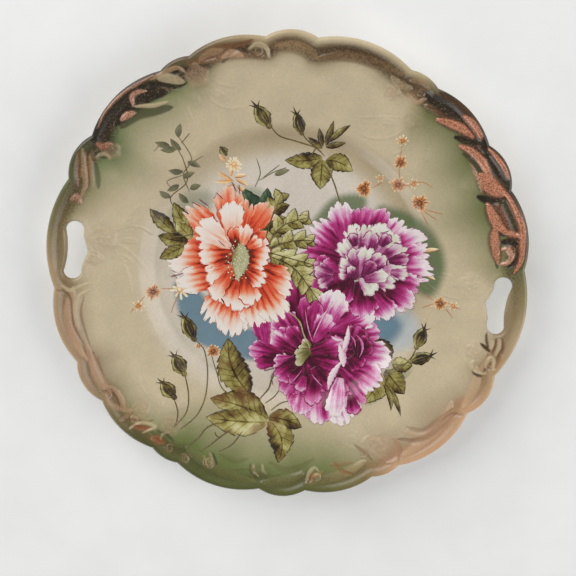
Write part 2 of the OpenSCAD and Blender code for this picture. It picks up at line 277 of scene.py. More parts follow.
# ---------------------------------------------------------------- relief of the border
# Raised strokes in plan: height, half width, paint, how strong the paint is, points
STROKES = (
    # upper right, copper on dark
    (0.8, 2.7, "copper", 1.0, ((67, 97), (74, 96), (81, 94), (88, 90))),
    (0.8, 2.2, "copper", 0.9, ((80, 101), (85, 98), (89, 94), (92, 90))),
    (0.8, 2.4, "copper", 1.0, ((81, 85), (88, 83), (94, 79), (98, 74), (102, 69))),
    (0.7, 5.0, "copper", 1.0, ((95, 71), (99, 68), (103, 65), (109, 62))),
    (0.6, 1.3, "rosy", 0.8, ((89, 76), (93, 71), (96, 66), (98, 61))),
    (0.9, 1.5, "copper", 1.0, ((96, 86), (101, 82), (106, 77), (110, 71))),
    (0.9, 2.0, "copper", 1.0, ((106, 67), (112, 61), (118, 53), (122, 46), (124, 37), (125, 28),
                               (123, 20))),
    (0.8, 3.2, "copper", 1.0, ((102, 56), (106, 50), (110, 45), (115, 42))),
    (0.7, 2.8, "copper", 0.9, ((109, 46), (109, 39), (111, 32), (114, 24))),
    (0.9, 1.8, "copper", 1.0, ((110, 43), (117, 42), (124, 41))),
    (1.0, 2.2, "rosy", 0.9, ((114, 32), (117, 33), (120, 29), (118, 25), (115, 24))),
    # upper left, a thin lit edge and a few scrolls on dark green
    (0.4, 1.1, "rosy", 0.7, ((-110, 69), (-106, 79), (-98, 89), (-89, 96), (-82, 101))),
    (1.0, 1.7, "rosy", 0.9, ((-86, 92), (-90, 91), (-93, 88), (-92, 83))),
    (0.8, 1.5, "cream", 0.8, ((-92, 83), (-87, 84), (-81, 85), (-74, 88))),
    (0.9, 2.2, "rosy", 0.9, ((-98, 75), (-95, 78), (-91, 80))),
    (0.7, 2.2, "copper", 0.7, ((-110, 61), (-106, 60), (-102, 62))),
    (0.6, 1.5, "cream", 0.6, ((-110, 54), (-106, 56), (-102, 54))),
    (0.8, 1.6, "tan", 0.9, ((-84, 98), (-78, 102), (-71, 106), (-66, 104))),
    (0.7, 3.0, "cream", 0.7, ((-80, 99), (-74, 100), (-67, 99))),
    (0.7, 1.8, "tan", 0.8, ((-117, 58), (-116, 48), (-115, 38), (-117, 30))),
    (0.6, 1.4, "tan", 0.6, ((-113, 55), (-112, 46), (-111, 36))),
    (0.7, 2.0, "rosy", 0.7, ((-122, 28), (-119, 31), (-117, 27))),
    # top
    (0.7, 2.2, "tan", 0.7, ((-60, 111), (-54, 116), (-48, 118))),
    (0.9, 1.7, "cream", 0.8, ((-35, 120), (-31, 123), (-26, 122), (-24, 117))),
    (0.6, 2.4, "pink", 0.8, ((-48, 114), (-43, 117), (-37, 116))),
    (0.6, 1.8, "tan", 0.4, ((-22, 123), (-12, 126), (-3, 124), (2, 119))),
    (0.7, 2.4, "cream", 0.4, ((40, 116), (46, 112), (52, 111))),
    (0.7, 2.0, "tan", 0.6, ((50, 115), (56, 115), (61, 112))),
    (0.7, 1.6, "pink", 0.6, ((50, 108), (55, 104), (60, 107))),
    # left, running down from the handle
    (0.8, 1.5, "cream", 0.7, ((-125, -20), (-120, -23), (-115, -21), (-109, -18))),
    (0.8, 1.6, "cream", 0.6, ((-109, -22), (-115, -27), (-116, -36), (-113, -46))),
    (0.8, 2.6, "pink", 0.7, ((-121, -28), (-120, -40), (-115, -52), (-107, -64))),
    (0.7, 2.8, "pink", 0.6, ((-108, -54), (-104, -65), (-98, -75), (-92, -82))),
    # lower left
    (0.8, 1.6, "pink", 0.6, ((-97, -78), (-91, -79), (-86, -84), (-83, -90))),
    (0.8, 1.8, "pink", 0.5, ((-95, -83), (-92, -88), (-86, -91), (-78, -91))),
    (0.6, 1.7, "tan", 0.5, ((-86, -97), (-79, -95), (-70, -96))),
    (0.7, 1.3, "cream", 0.7, ((-80, -102), (-73, -98), (-65, -100), (-72, -104))),
    (0.7, 1.6, "russet", 0.7, ((-67, -107), (-63, -106), (-60, -108))),
    (0.5, 1.1, "cream", 0.4, ((-61, -107), (-60, -104), (-56, -102))),
    (0.5, 1.1, "tan", 0.4, ((-48, -115), (-45, -115), (-43, -118))),
    (0.6, 1.2, "tan", 0.6, ((-32, -112), (-30, -116), (-28, -120))),
    (0.5, 1.1, "gold", 0.4, ((-35, -114), (-33, -118), (-31, -121))),
    # bottom
    (0.7, 1.3, "cream", 0.55, ((27, -123), (28, -117), (31, -113), (34, -115))),
    (0.6, 1.2, "gold", 0.5, ((30, -121), (31, -117), (34, -117), (36, -114))),
    (0.6, 1.1, "cream", 0.5, ((-5, -116), (-4, -120), (-1, -123))),
    (0.6, 1.1, "cream", 0.4, ((0, -115), (1, -119), (4, -121))),
    (0.5, 1.3, "olive", 0.5, ((-20, -121), (-8, -119), (6, -121), (14, -118))),
    (0.5, 2.0, "olive", 0.4, ((-26, -112), (-16, -115), (-9, -113))),
    (0.5, 1.8, "russet", 0.4, ((40, -110), (46, -108), (53, -106))),
    # lower right
    (0.7, 1.6, "cream", 0.5, ((56, -94), (60, -90), (67, -91), (71, -97))),
    (0.8, 1.9, "pink", 0.5, ((72, -86), (77, -92), (78, -99), (72, -103))),
    (0.7, 1.8, "pink", 0.5, ((78, -83), (89, -83), (98, -76), (106, -66))),
    (0.8, 1.7, "pink", 0.7, ((117, -28), (117, -34), (115, -40))),
    (0.8, 1.4, "cream", 0.8, ((122, -18), (123, -23), (122, -29))),
    # painted highlight: a pale streak down the raised strand below the right opening
    (0.7, 1.2, "cream", 0.9, ((119, -19), (119, -22), (119, -25))),
    (0.9, 1.4, "cream", 0.9, ((118, -37), (118, -33), (120, -30), (122, -32), (122, -37))),
    (0.9, 1.3, "cream", 0.9, ((112, -33), (110, -36), (112, -39), (116, -40), (119, -40))),
    (0.7, 1.6, "gold", 0.4, ((125, -27), (125, -33), (122, -39))),
)
# Small spiral scrolls: centre, size, turn, paint
CURLS = (
    (-55, -112, 2.6, 30, "tan"), (-45, -117, 2.2, 160, "tan"), (-31, -118, 2.6, 80, "cream"),
    (-3, -119, 3, 200, "olive"), (33, -118, 2.4, 300, "cream"), (121, -34, 2.4, 60, "cream"),
    (-77, -96, 2.6, 120, "cream"), (-93, -83, 2.6, 20, "tan"), (58, -100, 2.6, 240, "tan"),
    (-30, 120, 2.6, 260, "cream"), (57, 110, 2.4, 180, "tan"), (-68, 101, 2.6, 90, "tan"),
)
# Hollows and dark lines beside the ridges: depth, half width, paint, how strong, points
GROOVES = (
    (0.5, 4.6, "black", 1.0, ((58, 110), (70, 104), (80, 99), (88, 92))),
    (0.2, 2.5, "umber", 0.9, ((66, 111), (74, 107), (82, 103), (90, 97))),
    (0.6, 3.0, "black", 1.0, ((78, 89), (86, 88), (93, 88), (98, 83))),
    (0.5, 3.0, "black", 1.0, ((97, 84), (99, 79), (104, 73), (110, 68))),
    (0.4, 2.2, "shade", 0.9, ((84, 81), (90, 78), (95, 73), (98, 69))),
    (0.7, 3.0, "black", 1.0, ((96, 59), (103, 58), (110, 60))),
    (0.5, 3.2, "shade", 1.0, ((109, 61), (113, 55), (117, 49), (120, 42))),
    (0.5, 1.6, "black", 1.0, ((108, 41), (111, 41), (114, 40))),
    (0.8, 2.6, "black", 1.0, ((113, 36), (118, 37), (122, 36))),
    (0.6, 1.7, "black", 1.0, ((121, 37), (123, 31), (122, 26), (119, 22))),
    (0.3, 1.5, "black", 0.7, ((114, 31), (113, 26), (114, 21))),
    (0.3, 6.5, "black", 1.0, ((-112, 62), (-104, 78), (-95, 88), (-82, 96))),
    (0.4, 5.0, "black", 1.0, ((-101, 72), (-94, 81), (-86, 89), (-75, 93))),
    (0.3, 4.0, "shade", 0.8, ((-98, 71), (-90, 79), (-82, 82), (-72, 85))),
    (0.4, 3.0, "shade", 0.9, ((-111, 55), (-105, 56), (-100, 60))),
    (0.4, 1.6, "brown", 0.8, ((-119, 56), (-119, 46), (-118, 36))),
    (0.4, 1.3, "brown", 0.8, ((-115, 56), (-114, 46), (-113, 36))),
    (0.3, 2.0, "shade", 0.6, ((-111, 52), (-109, 44), (-108, 36))),
    (0.4, 1.4, "black", 0.9, ((-84, 95), (-77, 96), (-70, 96), (-65, 99))),
    (0.4, 1.4, "black", 0.9, ((-82, 101), (-76, 103), (-70, 103), (-66, 100))),
    (0.4, 1.8, "brown", 0.9, ((-66, 108), (-58, 112), (-51, 114))),
    (0.4, 2.0, "brown", 0.9, ((-58, 115), (-50, 119), (-41, 121), (-33, 125))),
    (0.4, 1.5, "black", 0.6, ((-48, 111), (-41, 119), (-34, 118))),
    (0.3, 2.6, "brown", 0.5, ((44, 114), (49, 109), (55, 108), (60, 104))),
    (0.4, 1.3, "brown", 0.6, ((-127, -23), (-120, -26), (-118, -34), (-116, -44), (-110, -54))),
    (0.4, 1.2, "brown", 0.5, ((-112, -26), (-113, -36), (-110, -46), (-106, -56))),
    (0.3, 1.8, "brown", 0.4, ((-105, -58), (-100, -68), (-96, -76))),
    (0.4, 1.3, "brown", 0.6, ((-98, -81), (-92, -82), (-88, -86), (-86, -92))),
    (0.4, 1.2, "brown", 0.7, ((-86, -99), (-79, -97), (-71, -98), (-66, -96))),
    (0.4, 2.0, "russet", 0.8, ((-78, -101), (-73, -101), (-67, -101))),
    (0.3, 1.2, "shade", 0.7, ((-64, -102), (-58, -104), (-53, -108))),
    (0.3, 2.4, "russet", 0.7, ((-66, -107), (-62, -108), (-58, -109))),
    (0.3, 1.2, "shade", 0.8, ((-30, -112), (-28, -116), (-26, -119))),
    (0.4, 1.3, "russet", 0.8, ((29, -122), (30, -118), (33, -116))),
    (0.3, 2.6, "olive", 0.4, ((4, -114), (14, -117), (23, -114), (30, -108))),
    (0.3, 1.2, "shade", 0.6, ((-7, -116), (-6, -121), (-2, -124))),
    (0.6, 2.3, "brown", 0.45, ((110, -66), (104, -68), (98, -77), (89, -86), (76, -88))),
    (0.5, 1.8, "russet", 0.5, ((74, -88), (78, -93), (79, -100))),
    (0.4, 2.2, "brown", 0.35, ((80, -80), (90, -80), (98, -72), (104, -64))),
    (0.4, 1.2, "brown", 0.9, ((121, -18), (121, -23), (120, -28))),
    (0.4, 1.4, "brown", 0.9, ((124, -18), (125, -23), (124, -29), (123, -36))),
    (0.3, 1.1, "umber", 0.9, ((115, -16), (116, -21), (118, -26))),
    (0.3, 1.4, "umber", 1.0, ((113, -23), (116, -25), (119, -27))),
    (0.4, 1.2, "brown", 0.9, ((118, -28), (117, -34), (118, -39))),
    (0.4, 1.3, "umber", 0.9, ((111, -38), (113, -41), (117, -42))),
    (0.3, 1.0, "brown", 0.8, ((120, -33), (120, -37))),
    (0.3, 1.4, "brown", 0.5, ((52, -96), (58, -99), (64, -103))),
    (0.3, 1.4, "russet", 0.5, ((42, -108), (47, -112), (54, -113))),
)
# Embossed roses: centre, radius, turn, how much paint catches on them
ROSES = (
    ((103, 8), 8.5, 0.4, 0.0), ((-104, 8), 8.5, 2.6, 0.12), ((55, 96), 7, 1.2, 0.1),
    ((-60, 103), 6.5, 0.2, 0.55), ((-108, -3), 5, 1.0, 0.1), ((66, -94), 7.5, 2.0, 0.5),
    ((-56, -98), 6.5, 0.8, 0.35), ((-102, 58), 5, 1.4, 0.4), ((42, 108), 4.5, 2.2, 0.35),
    ((-74, -90), 6, 0.1, 0.35), ((110, -28), 5, 1.9, 0.3),
)
# Fine raised lines that run in from the border's sprays: points
VEINS = (
    ((100, 4), (92, 8), (84, 14), (78, 24)), ((100, 0), (90, 0), (80, 4), (74, 8)),
    ((101, 12), (94, 18), (86, 26), (82, 36)), ((99, -4), (90, -8), (82, -8)),
    ((-98, 6), (-90, 2), (-82, -6), (-78, -14)), ((-98, 2), (-92, -6), (-88, -16), (-86, -24)),
    ((-99, 12), (-92, 16), (-84, 16), (-78, 12)), ((-96, 14), (-90, 24), (-84, 30)),
    ((52, 90), (46, 84), (36, 82), (28, 84)), ((56, 89), (54, 80), (48, 74)),
    ((60, 92), (66, 82), (66, 72)), ((48, 95), (38, 94), (28, 92)),
    ((-56, 97), (-50, 90), (-42, 88), (-34, 90)), ((-62, 96), (-64, 86), (-60, 78)),
    ((-66, 98), (-74, 90), (-78, 80)), ((-54, 103), (-46, 100), (-38, 100)),
    ((60, -88), (56, -80), (58, -72)), ((72, -92), (80, -84), (84, -74), (82, -66)),
    ((60, -98), (50, -98), (42, -94)), ((-56, -91), (-52, -84), (-54, -76)),
    ((-50, -98), (-42, -98), (-36, -94)), ((-68, -86), (-76, -76), (-78, -66)),
)
# Small embossed leaves beside the roses: base, tip, half width
LEAF_SPRAYS = (
    ((96, 18), (86, 24), 3.2), ((96, -2), (84, -8), 3.0), ((94, 10), (83, 12), 2.6),
    ((-96, 16), (-86, 22), 3.2), ((-97, 0), (-86, -6), 3.0), ((-95, 8), (-84, 8), 2.6),
    ((48, 92), (37, 92), 3.0), ((54, 88), (50, 78), 2.8), ((62, 88), (64, 77), 2.8),
    ((-54, 96), (-44, 94), 3.0), ((-60, 95), (-60, 85), 2.8), ((-68, 93), (-74, 84), 2.8),
    ((60, -86), (54, -78), 2.8), ((72, -86), (76, -76), 2.8), ((56, -94), (46, -92), 2.8),
    ((-54, -90), (-48, -82), 2.8), ((-62, -90), (-66, -80), 2.8), ((-50, -96), (-40, -96), 2.6),
)


# How many points are compared with a line at a time
BATCH = 4000
# Spacing of the points along a stroke; half widths of ridges and veins; the umber beside copper
STROKE_STEP = 0.25
RIDGE_HALF, VEIN_HALF, COPPER_MARGIN = 3.6, 0.9, 1.8


def curl(cx, cy, size, turn):
    """A small spiral, from its outer end to its eye."""
    steps = np.linspace(0, 1, 12)
    reach = size * (1 - 0.75 * steps)
    angle = np.radians(turn + 460 * steps)
    return curve(np.stack([cx + reach * np.cos(angle), cy + reach * np.sin(angle)], 1), STROKE_STEP)


# A ridge's course: share of the scallop's width, distance inside the edge
RIDGE_COURSE = ((0.04, 5), (0.3, 8), (0.6, 9.5), (0.85, 10.5), (1.0, 11))


def ridge_lines():
    """A tapering ridge inside each scallop of middling width, from beside one notch to the next.
    On the left half of the plate they lean the other way."""
    lines = []
    for start, width, _, _ in SCALLOPS:
        if not 10 <= width <= 25:
            continue
        left = 90 < start + width / 2 < 270
        angles = [start + (1 - share if left else share) * width for share, _ in RIDGE_COURSE]
        lines.append(curve([polar(edge_radius(np.array([angle]))[0] - depth, angle)
                            for angle, (_, depth) in zip(angles, RIDGE_COURSE)]))
    return lines


def relief_lines():
    """Every stroke and every hollow: height, half width, paint, how strong, line."""
    strokes = [(*row[:4], curve(row[4], STROKE_STEP)) for row in STROKES]
    grooves = [(*row[:4], curve(row[4], STROKE_STEP)) for row in GROOVES]
    for x, y, size, turn, paint in CURLS:
        strokes.append((0.55, 0.9, paint, 0.35, curl(x, y, size, turn)))
        grooves.append((0.3, 0.8, "brown", 0.25, curl(x, y, size + 0.9, turn)))
    return strokes, grooves


RIDGES = ridge_lines()
STROKE_LINES, GROOVE_LINES = relief_lines()
VEIN_LINES = [curve(points, 0.3) for points in VEINS]


class Glaze:
    """Relief, colour and copper lustre at points in plan, built up layer by layer."""

    def __init__(self, x, y):
        self.x, self.y, self.inset = x, y, inset(x, y)
        self.height = 0.75 * hump(self.inset, *ROLL) - 0.35 * hump(self.inset, *CHANNEL)
        self.raised, self.lustre = np.zeros(len(x)), np.zeros(len(x))
        r = np.hypot(x, y)
        self.colour = WELL_IVORY + (IVORY - WELL_IVORY) * ease((r - 58) / 24)[:, None]

    def near(self, line, half):
        """Which points lie on a stroke that tapers to both ends of a line, and how close each
        is: 1 on the line, 0 at the stroke's side."""
        share = np.linspace(0, 1, len(line))
        reach = half * (0.15 + 0.85 * np.sin(np.pi * share) ** 0.6)
        x, y = self.x, self.y
        low, high = line.min(0) - half, line.max(0) + half
        near = np.nonzero((x > low[0]) & (x < high[0]) & (y > low[1]) & (y < high[1]))[0]
        close = np.zeros(len(near))
        for part in np.array_split(np.arange(len(near)), max(1, len(near) // BATCH)):
            i = near[part]
            q = (np.hypot(x[i, None] - line[:, 0], y[i, None] - line[:, 1]) / reach).min(1)
            close[part] = np.clip(1 - q * q, 0, 1)
        keep = close > 0
        return near[keep], close[keep]

    def mix(self, shade, amount, where=slice(None)):
        """Paints over the colour, by 0 to 1."""
        self.colour[where] += (shade - self.colour[where]) * np.clip(amount, 0, 1)[:, None]

    def lift(self, height, where=slice(None)):
        """Raises the relief to at least this height."""
        self.raised[where] = np.maximum(self.raised[where], height)

    def shine(self, amount, where):
        """Gives at least this much copper lustre."""
        self.lustre[where] = np.maximum(self.lustre[where], amount)


def spray_ground(glaze):
    """The well's slope, with painted shade towards the upper right and painted light towards the lower
    left, then the border's airbrushed shades; gives the ridges' own shade.
    """
    d, r = glaze.inset, np.hypot(glaze.x, glaze.y)
    degrees = np.degrees(np.arctan2(glaze.y, glaze.x))
    edge, channel, ridge_shade, airbrush, reach = border_at(degrees)
    # Painted shade and painted light on the well's slope: tan towards the upper right, paler well ivory
    # towards the lower left
    toward = np.cos(np.radians(degrees - 55))
    glaze.mix(SLOPE_PAINTED_SHADE, 0.8 * hump(r, 75, 12) * np.clip(toward + 0.3, 0, 1))
    glaze.mix(WELL_IVORY, 0.7 * hump(r, 76, 14) * np.clip(-toward, 0, 1))
    wander = 2.0 * np.sin(np.radians(degrees * 11)) + 1.5 * np.sin(np.radians(degrees * 23 + 40))
    glaze.mix(airbrush * SPRAY_DEPTH, np.clip(1.15 - (d - 8 + wander) / reach, 0, 1) ** 1.3)
    glaze.mix(channel * SPRAY_DEPTH, 1.1 * hump(d + 0.4 * wander, 6.5, 7.5))
    glaze.mix(edge * EDGE_DEPTH, ease(1.15 - d / 5))
    return ridge_shade


def press_ridges(glaze, shade):
    """One ridge in each middling scallop, with lustre where its shade is coppery."""
    for line in RIDGES:
        i, close = glaze.near(line, RIDGE_HALF)
        glaze.lift(0.7 * close ** 1.5, i)
        glaze.mix(shade[i], 0.65 * ease(close * 1.1), i)
        copper = np.clip((shade[i, 0] - 3.2 * shade[i, 2]) * 6, 0, 1)
        glaze.shine(0.6 * close * copper, i)


def cut_grooves(glaze):
    """Hollows, which take away the ridges and the lustre that they cross."""
    for deep, half, paint, strength, line in GROOVE_LINES:
        i, close = glaze.near(line, half)
        glaze.height[i] -= deep * close
        glaze.raised[i] *= 1 - 0.8 * close
        glaze.lustre[i] *= 1 - close
        glaze.mix(PAINTS[paint], strength * ease(close * min(1.5, 0.4 + 0.6 * half)), i)


def lay_strokes(glaze):
    """Raised strokes: the umber round the copper ones first, then every stroke."""
    for _, half, paint, strength, line in STROKE_LINES:
        if paint == "copper":
            i, close = glaze.near(line, half + COPPER_MARGIN)
            glaze.mix(PAINTS["umber"], 0.75 * strength * ease(close * 1.4), i)
    for tall, half, paint, strength, line in STROKE_LINES:
        i, close = glaze.near(line, half)
        metallic = paint in ("copper", "rosy")
        glaze.lift((1 if metallic else 0.75) * tall * close ** 1.5, i)
        glaze.mix(PAINTS[paint], strength * ease(close * min(1.7, 0.4 + 0.6 * half)), i)
        if metallic:
            glaze.shine(strength * close ** 0.6, i)
        else:
            glaze.lustre[i] *= 1 - close


def press_veins(glaze):
    """The fine raised lines that run in from the sprays."""
    for line in VEIN_LINES:
        i, close = glaze.near(line, VEIN_HALF)
        glaze.lift(0.32 * close, i)


def press_leaves(glaze):
    """Small embossed leaves, each with a groove for its midrib."""
    for base, tip, half in LEAF_SPRAYS:
        axis = np.array(tip, float) - base
        length = np.hypot(*axis)
        axis /= length
        x, y = glaze.x - base[0], glaze.y - base[1]
        along = (x * axis[0] + y * axis[1]) / length
        aside = (y * axis[0] - x * axis[1]) / half
        inside = np.clip(np.sin(np.pi * np.clip(along, 0, 1)) - np.abs(aside), 0, 1)
        rib = 1 - 0.5 * hump(aside, 0, 0.3)
        glaze.lift(0.45 * ease(inside * 1.6) * rib)


def press_roses(glaze):
    """Embossed roses: a dome cut by whirling petals, with paint caught in its hollows."""
    shade = PAINTS["brown"] * 0.5 + IVORY * 0.5
    for (cx, cy), size, turn, paint in ROSES:
        x, y = glaze.x - cx, glaze.y - cy
        i = np.nonzero((np.abs(x) < size * 1.4) & (np.abs(y) < size * 1.4))[0]
        phi = np.arctan2(y[i], x[i]) + turn
        rim = 1 + 0.1 * np.cos(5 * phi + 2)
        q = np.clip(np.hypot(x[i], y[i]) / size / rim, 0, 1)
        dome = (1 - q ** 4) * (1.15 - 0.35 * q)
        petals = 0.5 + 0.32 * np.cos(3 * phi - 10 * q) + 0.18 * np.cos(5 * phi + 13 * q)
        glaze.lift(dome * (0.55 + 0.55 * petals) * 0.85, i)
        glaze.mix(shade, paint * (1 - petals) * (q < 1) * 1.2, i)
        glaze.mix(PAINTS["rosy"], paint * 0.6 * petals * (1 - q ** 6) * (q < 1), i)


def dress(x, y):
    """Relief height above the plain surface, glaze colour and lustre at points in plan."""
    glaze = Glaze(x, y)
    press_ridges(glaze, spray_ground(glaze))
    cut_grooves(glaze)
    lay_strokes(glaze)
    press_veins(glaze)
    press_leaves(glaze)
    press_roses(glaze)
    height = glaze.height + glaze.raised * (1 - 0.5 * hump(glaze.inset, *ROLL))
    away = slot_distance(x, y)
    return height * ease(away / SLOT_PLAIN) + 0.4 * hump(away, *LIP), glaze.colour, glaze.lustre


# ---------------------------------------------------------------- mesh and material tools
def link(name, data):
    """A new object in the scene."""
    thing = bpy.data.objects.new(name, data)
    bpy.context.scene.collection.objects.link(thing)
    return thing


def make_piece(name, points, faces, material, replaced, attributes, normals=None):
    """A piece from points in mm and arrays of faces, with its attributes, riding on the plate."""
    mesh = bpy.data.meshes.new(name)
    corners = np.concatenate([f.ravel() for f in faces]).astype(np.int32)
    sizes = np.concatenate([np.full(len(f), f.shape[1]) for f in faces])
    mesh.vertices.add(len(points))
    mesh.vertices.foreach_set("co", (np.asarray(points, float) * MM).ravel())
    mesh.loops.add(len(corners))
    mesh.loops.foreach_set("vertex_index", corners)
    mesh.polygons.add(len(sizes))
    mesh.polygons.foreach_set("loop_start", np.concatenate([[0], np.cumsum(sizes)[:-1]]))
    mesh.update(calc_edges=True)
    for key, values in attributes:
        values = np.asarray(values, float)
        kind, field = ("FLOAT", "value") if values.ndim == 1 else ("FLOAT_VECTOR", "vector")
        mesh.attributes.new(key, kind, "POINT").data.foreach_set(field, values.ravel())
    mesh.polygons.foreach_set("use_smooth", np.ones(len(sizes), bool))
    if normals is not None:
        mesh.normals_split_custom_set(normals.tolist())
    mesh.materials.append(material)
    piece = link(name, mesh)
    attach(piece, "root")
    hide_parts(*replaced)


class Nodes:
    """Short calls for building a material's nodes."""

    def __init__(self, name):
        self.material = bpy.data.materials.new(name)
        self.material.use_nodes = True
        self.tree = self.material.node_tree
        self.shader = self.tree.nodes["Principled BSDF"]
        self.place = self.add("ShaderNodeTexCoord").outputs["Object"]

    def add(self, kind, **settings):
        node = self.tree.nodes.new(kind)
        for key, value in settings.items():
            setattr(node, key, value)
        return node

    def put(self, socket, value):
        """Links a socket, or sets a number or a colour."""
        if isinstance(value, bpy.types.NodeSocket):
            self.tree.links.new(value, socket)
        elif hasattr(value, "__len__") and len(value) == 3 and len(socket.default_value) == 4:
            socket.default_value = (*value, 1)
        else:
            socket.default_value = value

    def math(self, operation, a, b=0.0, c=0.0):
        node = self.add("ShaderNodeMath", operation=operation)
        for socket, value in zip(node.inputs, (a, b, c)):
            self.put(socket, value)
        return node.outputs[0]

    def times(self, a, b):
        return self.math("MULTIPLY", a, b)

    def attribute(self, name, output="Fac"):
        return self.add("ShaderNodeAttribute", attribute_name=name).outputs[output]

    def noise(self, scale, detail, vector=None):
        node = self.add("ShaderNodeTexNoise")
        self.put(node.inputs["Vector"], vector or self.place)
        node.inputs["Scale"].default_value = scale
        node.inputs["Detail"].default_value = detail
        return node.outputs["Fac"]

    def ramp(self, value, stops):
        node = self.add("ShaderNodeValToRGB")
        self.put(node.inputs[0], value)
        row = node.color_ramp.elements
        while len(row) < len(stops):
            row.new(0.5)
        for element, (at, colour) in zip(row, stops):
            element.position = at
            element.color = (*colour, 1)
        return node.outputs[0]

    def span(self, value, low, high, to_low=0.0, to_high=1.0):
        node = self.add("ShaderNodeMapRange")
        for key, number in (("Value", value), ("From Min", low), ("From Max", high),
                            ("To Min", to_low), ("To Max", to_high)):
            self.put(node.inputs[key], number)
        return node.outputs[0]

    def cloud(self, scale, detail, low, high, to_low=0.0, to_high=1.0):
        """Noise, with the values from low to high spread over another range."""
        return self.span(self.noise(scale, detail), low, high, to_low, to_high)

    def mix(self, amount, a, b, blend="MIX"):
        """Blends two colours. The node's inputs 6 and 7 and its output 2 are its colours."""
        node = self.add("ShaderNodeMix", data_type="RGBA", blend_type=blend)
        self.put(node.inputs[0], amount)
        self.put(node.inputs[6], a)
        self.put(node.inputs[7], b)
        return node.outputs[2]

    def stretch(self, vector, x, y, z):
        node = self.add("ShaderNodeVectorMath", operation="MULTIPLY")
        self.put(node.inputs[0], vector)
        node.inputs[1].default_value = (x, y, z)
        return node.outputs[0]

    def finish(self, colour, roughness, bump=None, strength=0.1, depth=0.0001, metallic=None,
               coat=0.2):
        """Joins colour, roughness, relief and coat to the shader, and gives the material."""
        self.put(self.shader.inputs["Base Color"], colour)
        self.put(self.shader.inputs["Roughness"], roughness)
        self.shader.inputs["Coat Weight"].default_value = coat
        self.shader.inputs["Coat Roughness"].default_value = 0.15
        if metallic is not None:
            self.put(self.shader.inputs["Metallic"], metallic)
        if bump is not None:
            node = self.add("ShaderNodeBump")
            node.inputs["Strength"].default_value = strength
            node.inputs["Distance"].default_value = depth
            self.put(node.inputs["Height"], bump)
            self.put(self.shader.inputs["Normal"], node.outputs[0])
        return self.material


def glaze_material():
    """Painted and glazed porcelain. The colour and the lustre come with the mesh; the nodes
    add the cloudy spray, its fine grain, and the broken, speckled copper lustre."""
    n = Nodes("painted_glaze")
    lustre, depth = n.attribute("lustre"), n.attribute("depth")
    shade = n.times(n.cloud(60, 3, 0.3, 0.7, 0.94, 1.05), n.cloud(900, 2, 0.25, 0.75, 0.93, 1.07))
    grey = n.add("ShaderNodeCombineXYZ")
    for socket in grey.inputs:
        n.put(socket, shade)
    colour = n.mix(1.0, n.attribute("paint", "Vector"), grey.outputs[0], "MULTIPLY")
    band = n.times(n.span(lustre, 0.08, 0.35), n.span(lustre, 0.5, 0.8, 1, 0))
    # Dark and pale specks in the channel, then the copper's ragged border, its worn spots, and pale
    # spots that are painted glints on the lustre:
    # noise scale and detail, where a speck starts and is full, where they lie, how strong, colour
    for scale, detail, low, high, where, strength, tint in (
            (1000, 3, 0.48, 0.60, depth, 0.7, srgb(66, 48, 30)),
            (1150, 2, 0.56, 0.66, depth, 0.28, srgb(170, 158, 118)),
            (1200, 3, 0.44, 0.54, band, 0.75, srgb(58, 42, 26)),
            (1300, 3, 0.46, 0.58, lustre, 0.72, srgb(98, 54, 34)),
            # painted glints: pale specks on the copper lustre
            (1500, 1, 0.58, 0.68, lustre, 0.6, srgb(236, 176, 146))):
        specks = n.times(n.cloud(scale, detail, low, high), where)
        colour = n.mix(n.times(specks, strength), colour, tint)
    rough = n.cloud(300, 2, 0.3, 0.7, 0.30, 0.40)
    return n.finish(colour, rough, n.noise(220, 2), 0.12, 0.0002, n.times(lustre, 0.25))


def under_material():
    """The unpainted white glaze of the underside and the foot, bare where it was wiped."""
    n = Nodes("underside_glaze")
    bare = n.attribute("bare")
    white = n.ramp(n.noise(45, 3), ((0.3, srgb(214, 208, 192)), (0.7, srgb(228, 224, 212))))
    pits = n.times(n.cloud(520, 2, 0.68, 0.74), 0.5)
    white = n.mix(pits, white, srgb(150, 128, 100))
    sand = n.ramp(n.noise(1200, 3), ((0.3, srgb(186, 170, 142)), (0.7, srgb(214, 202, 178))))
    rough = n.span(bare, 0, 1, 0.18, 0.75)
    return n.finish(n.mix(bare, white, sand), rough, n.noise(200, 2), 0.15, 0.0002)


# ---------------------------------------------------------------- the plate
def border_rows():
    """Radius of every row of the border's grid, for each column, from the well to the edge."""
    degrees = np.arange(COLUMNS) * 360 / COLUMNS - 30
    edge = edge_radius(degrees)
    rows = [np.full(COLUMNS, r) for r in np.linspace(WELL_R, CAVETTO_R, CAVETTO_ROWS + 1)]
    rows += [np.full(COLUMNS, r) for r in np.linspace(CAVETTO_R, FLANGE_R, FLANGE_ROWS + 1)[1:]]
    run = edge - RIM_START - FLANGE_R
    rows += [FLANGE_R + run * k / RIM_ROWS for k in range(1, RIM_ROWS + 1)]
    rows += [edge - d for d in EDGE_STEPS]
    return degrees, np.array(rows)


def snap_to_slots(x, y):
    """Moves the points beside a finger opening's outline onto it, and gives every point's
    distance to the outline."""
    near = np.nonzero(np.abs(slot_distance(x, y)) < SNAP)[0]
    e = 0.02
    for _ in range(3):
        px, py = x[near], y[near]
        here = slot_distance(px, py)
        gx = (slot_distance(px + e, py) - slot_distance(px - e, py)) / (2 * e)
        gy = (slot_distance(px, py + e) - slot_distance(px, py - e)) / (2 * e)
        size = np.maximum(gx * gx + gy * gy, 0.3)
        x[near] -= here * gx / size
        y[near] -= here * gy / size
    away = slot_distance(x, y)
    away[near] = 0
    return away


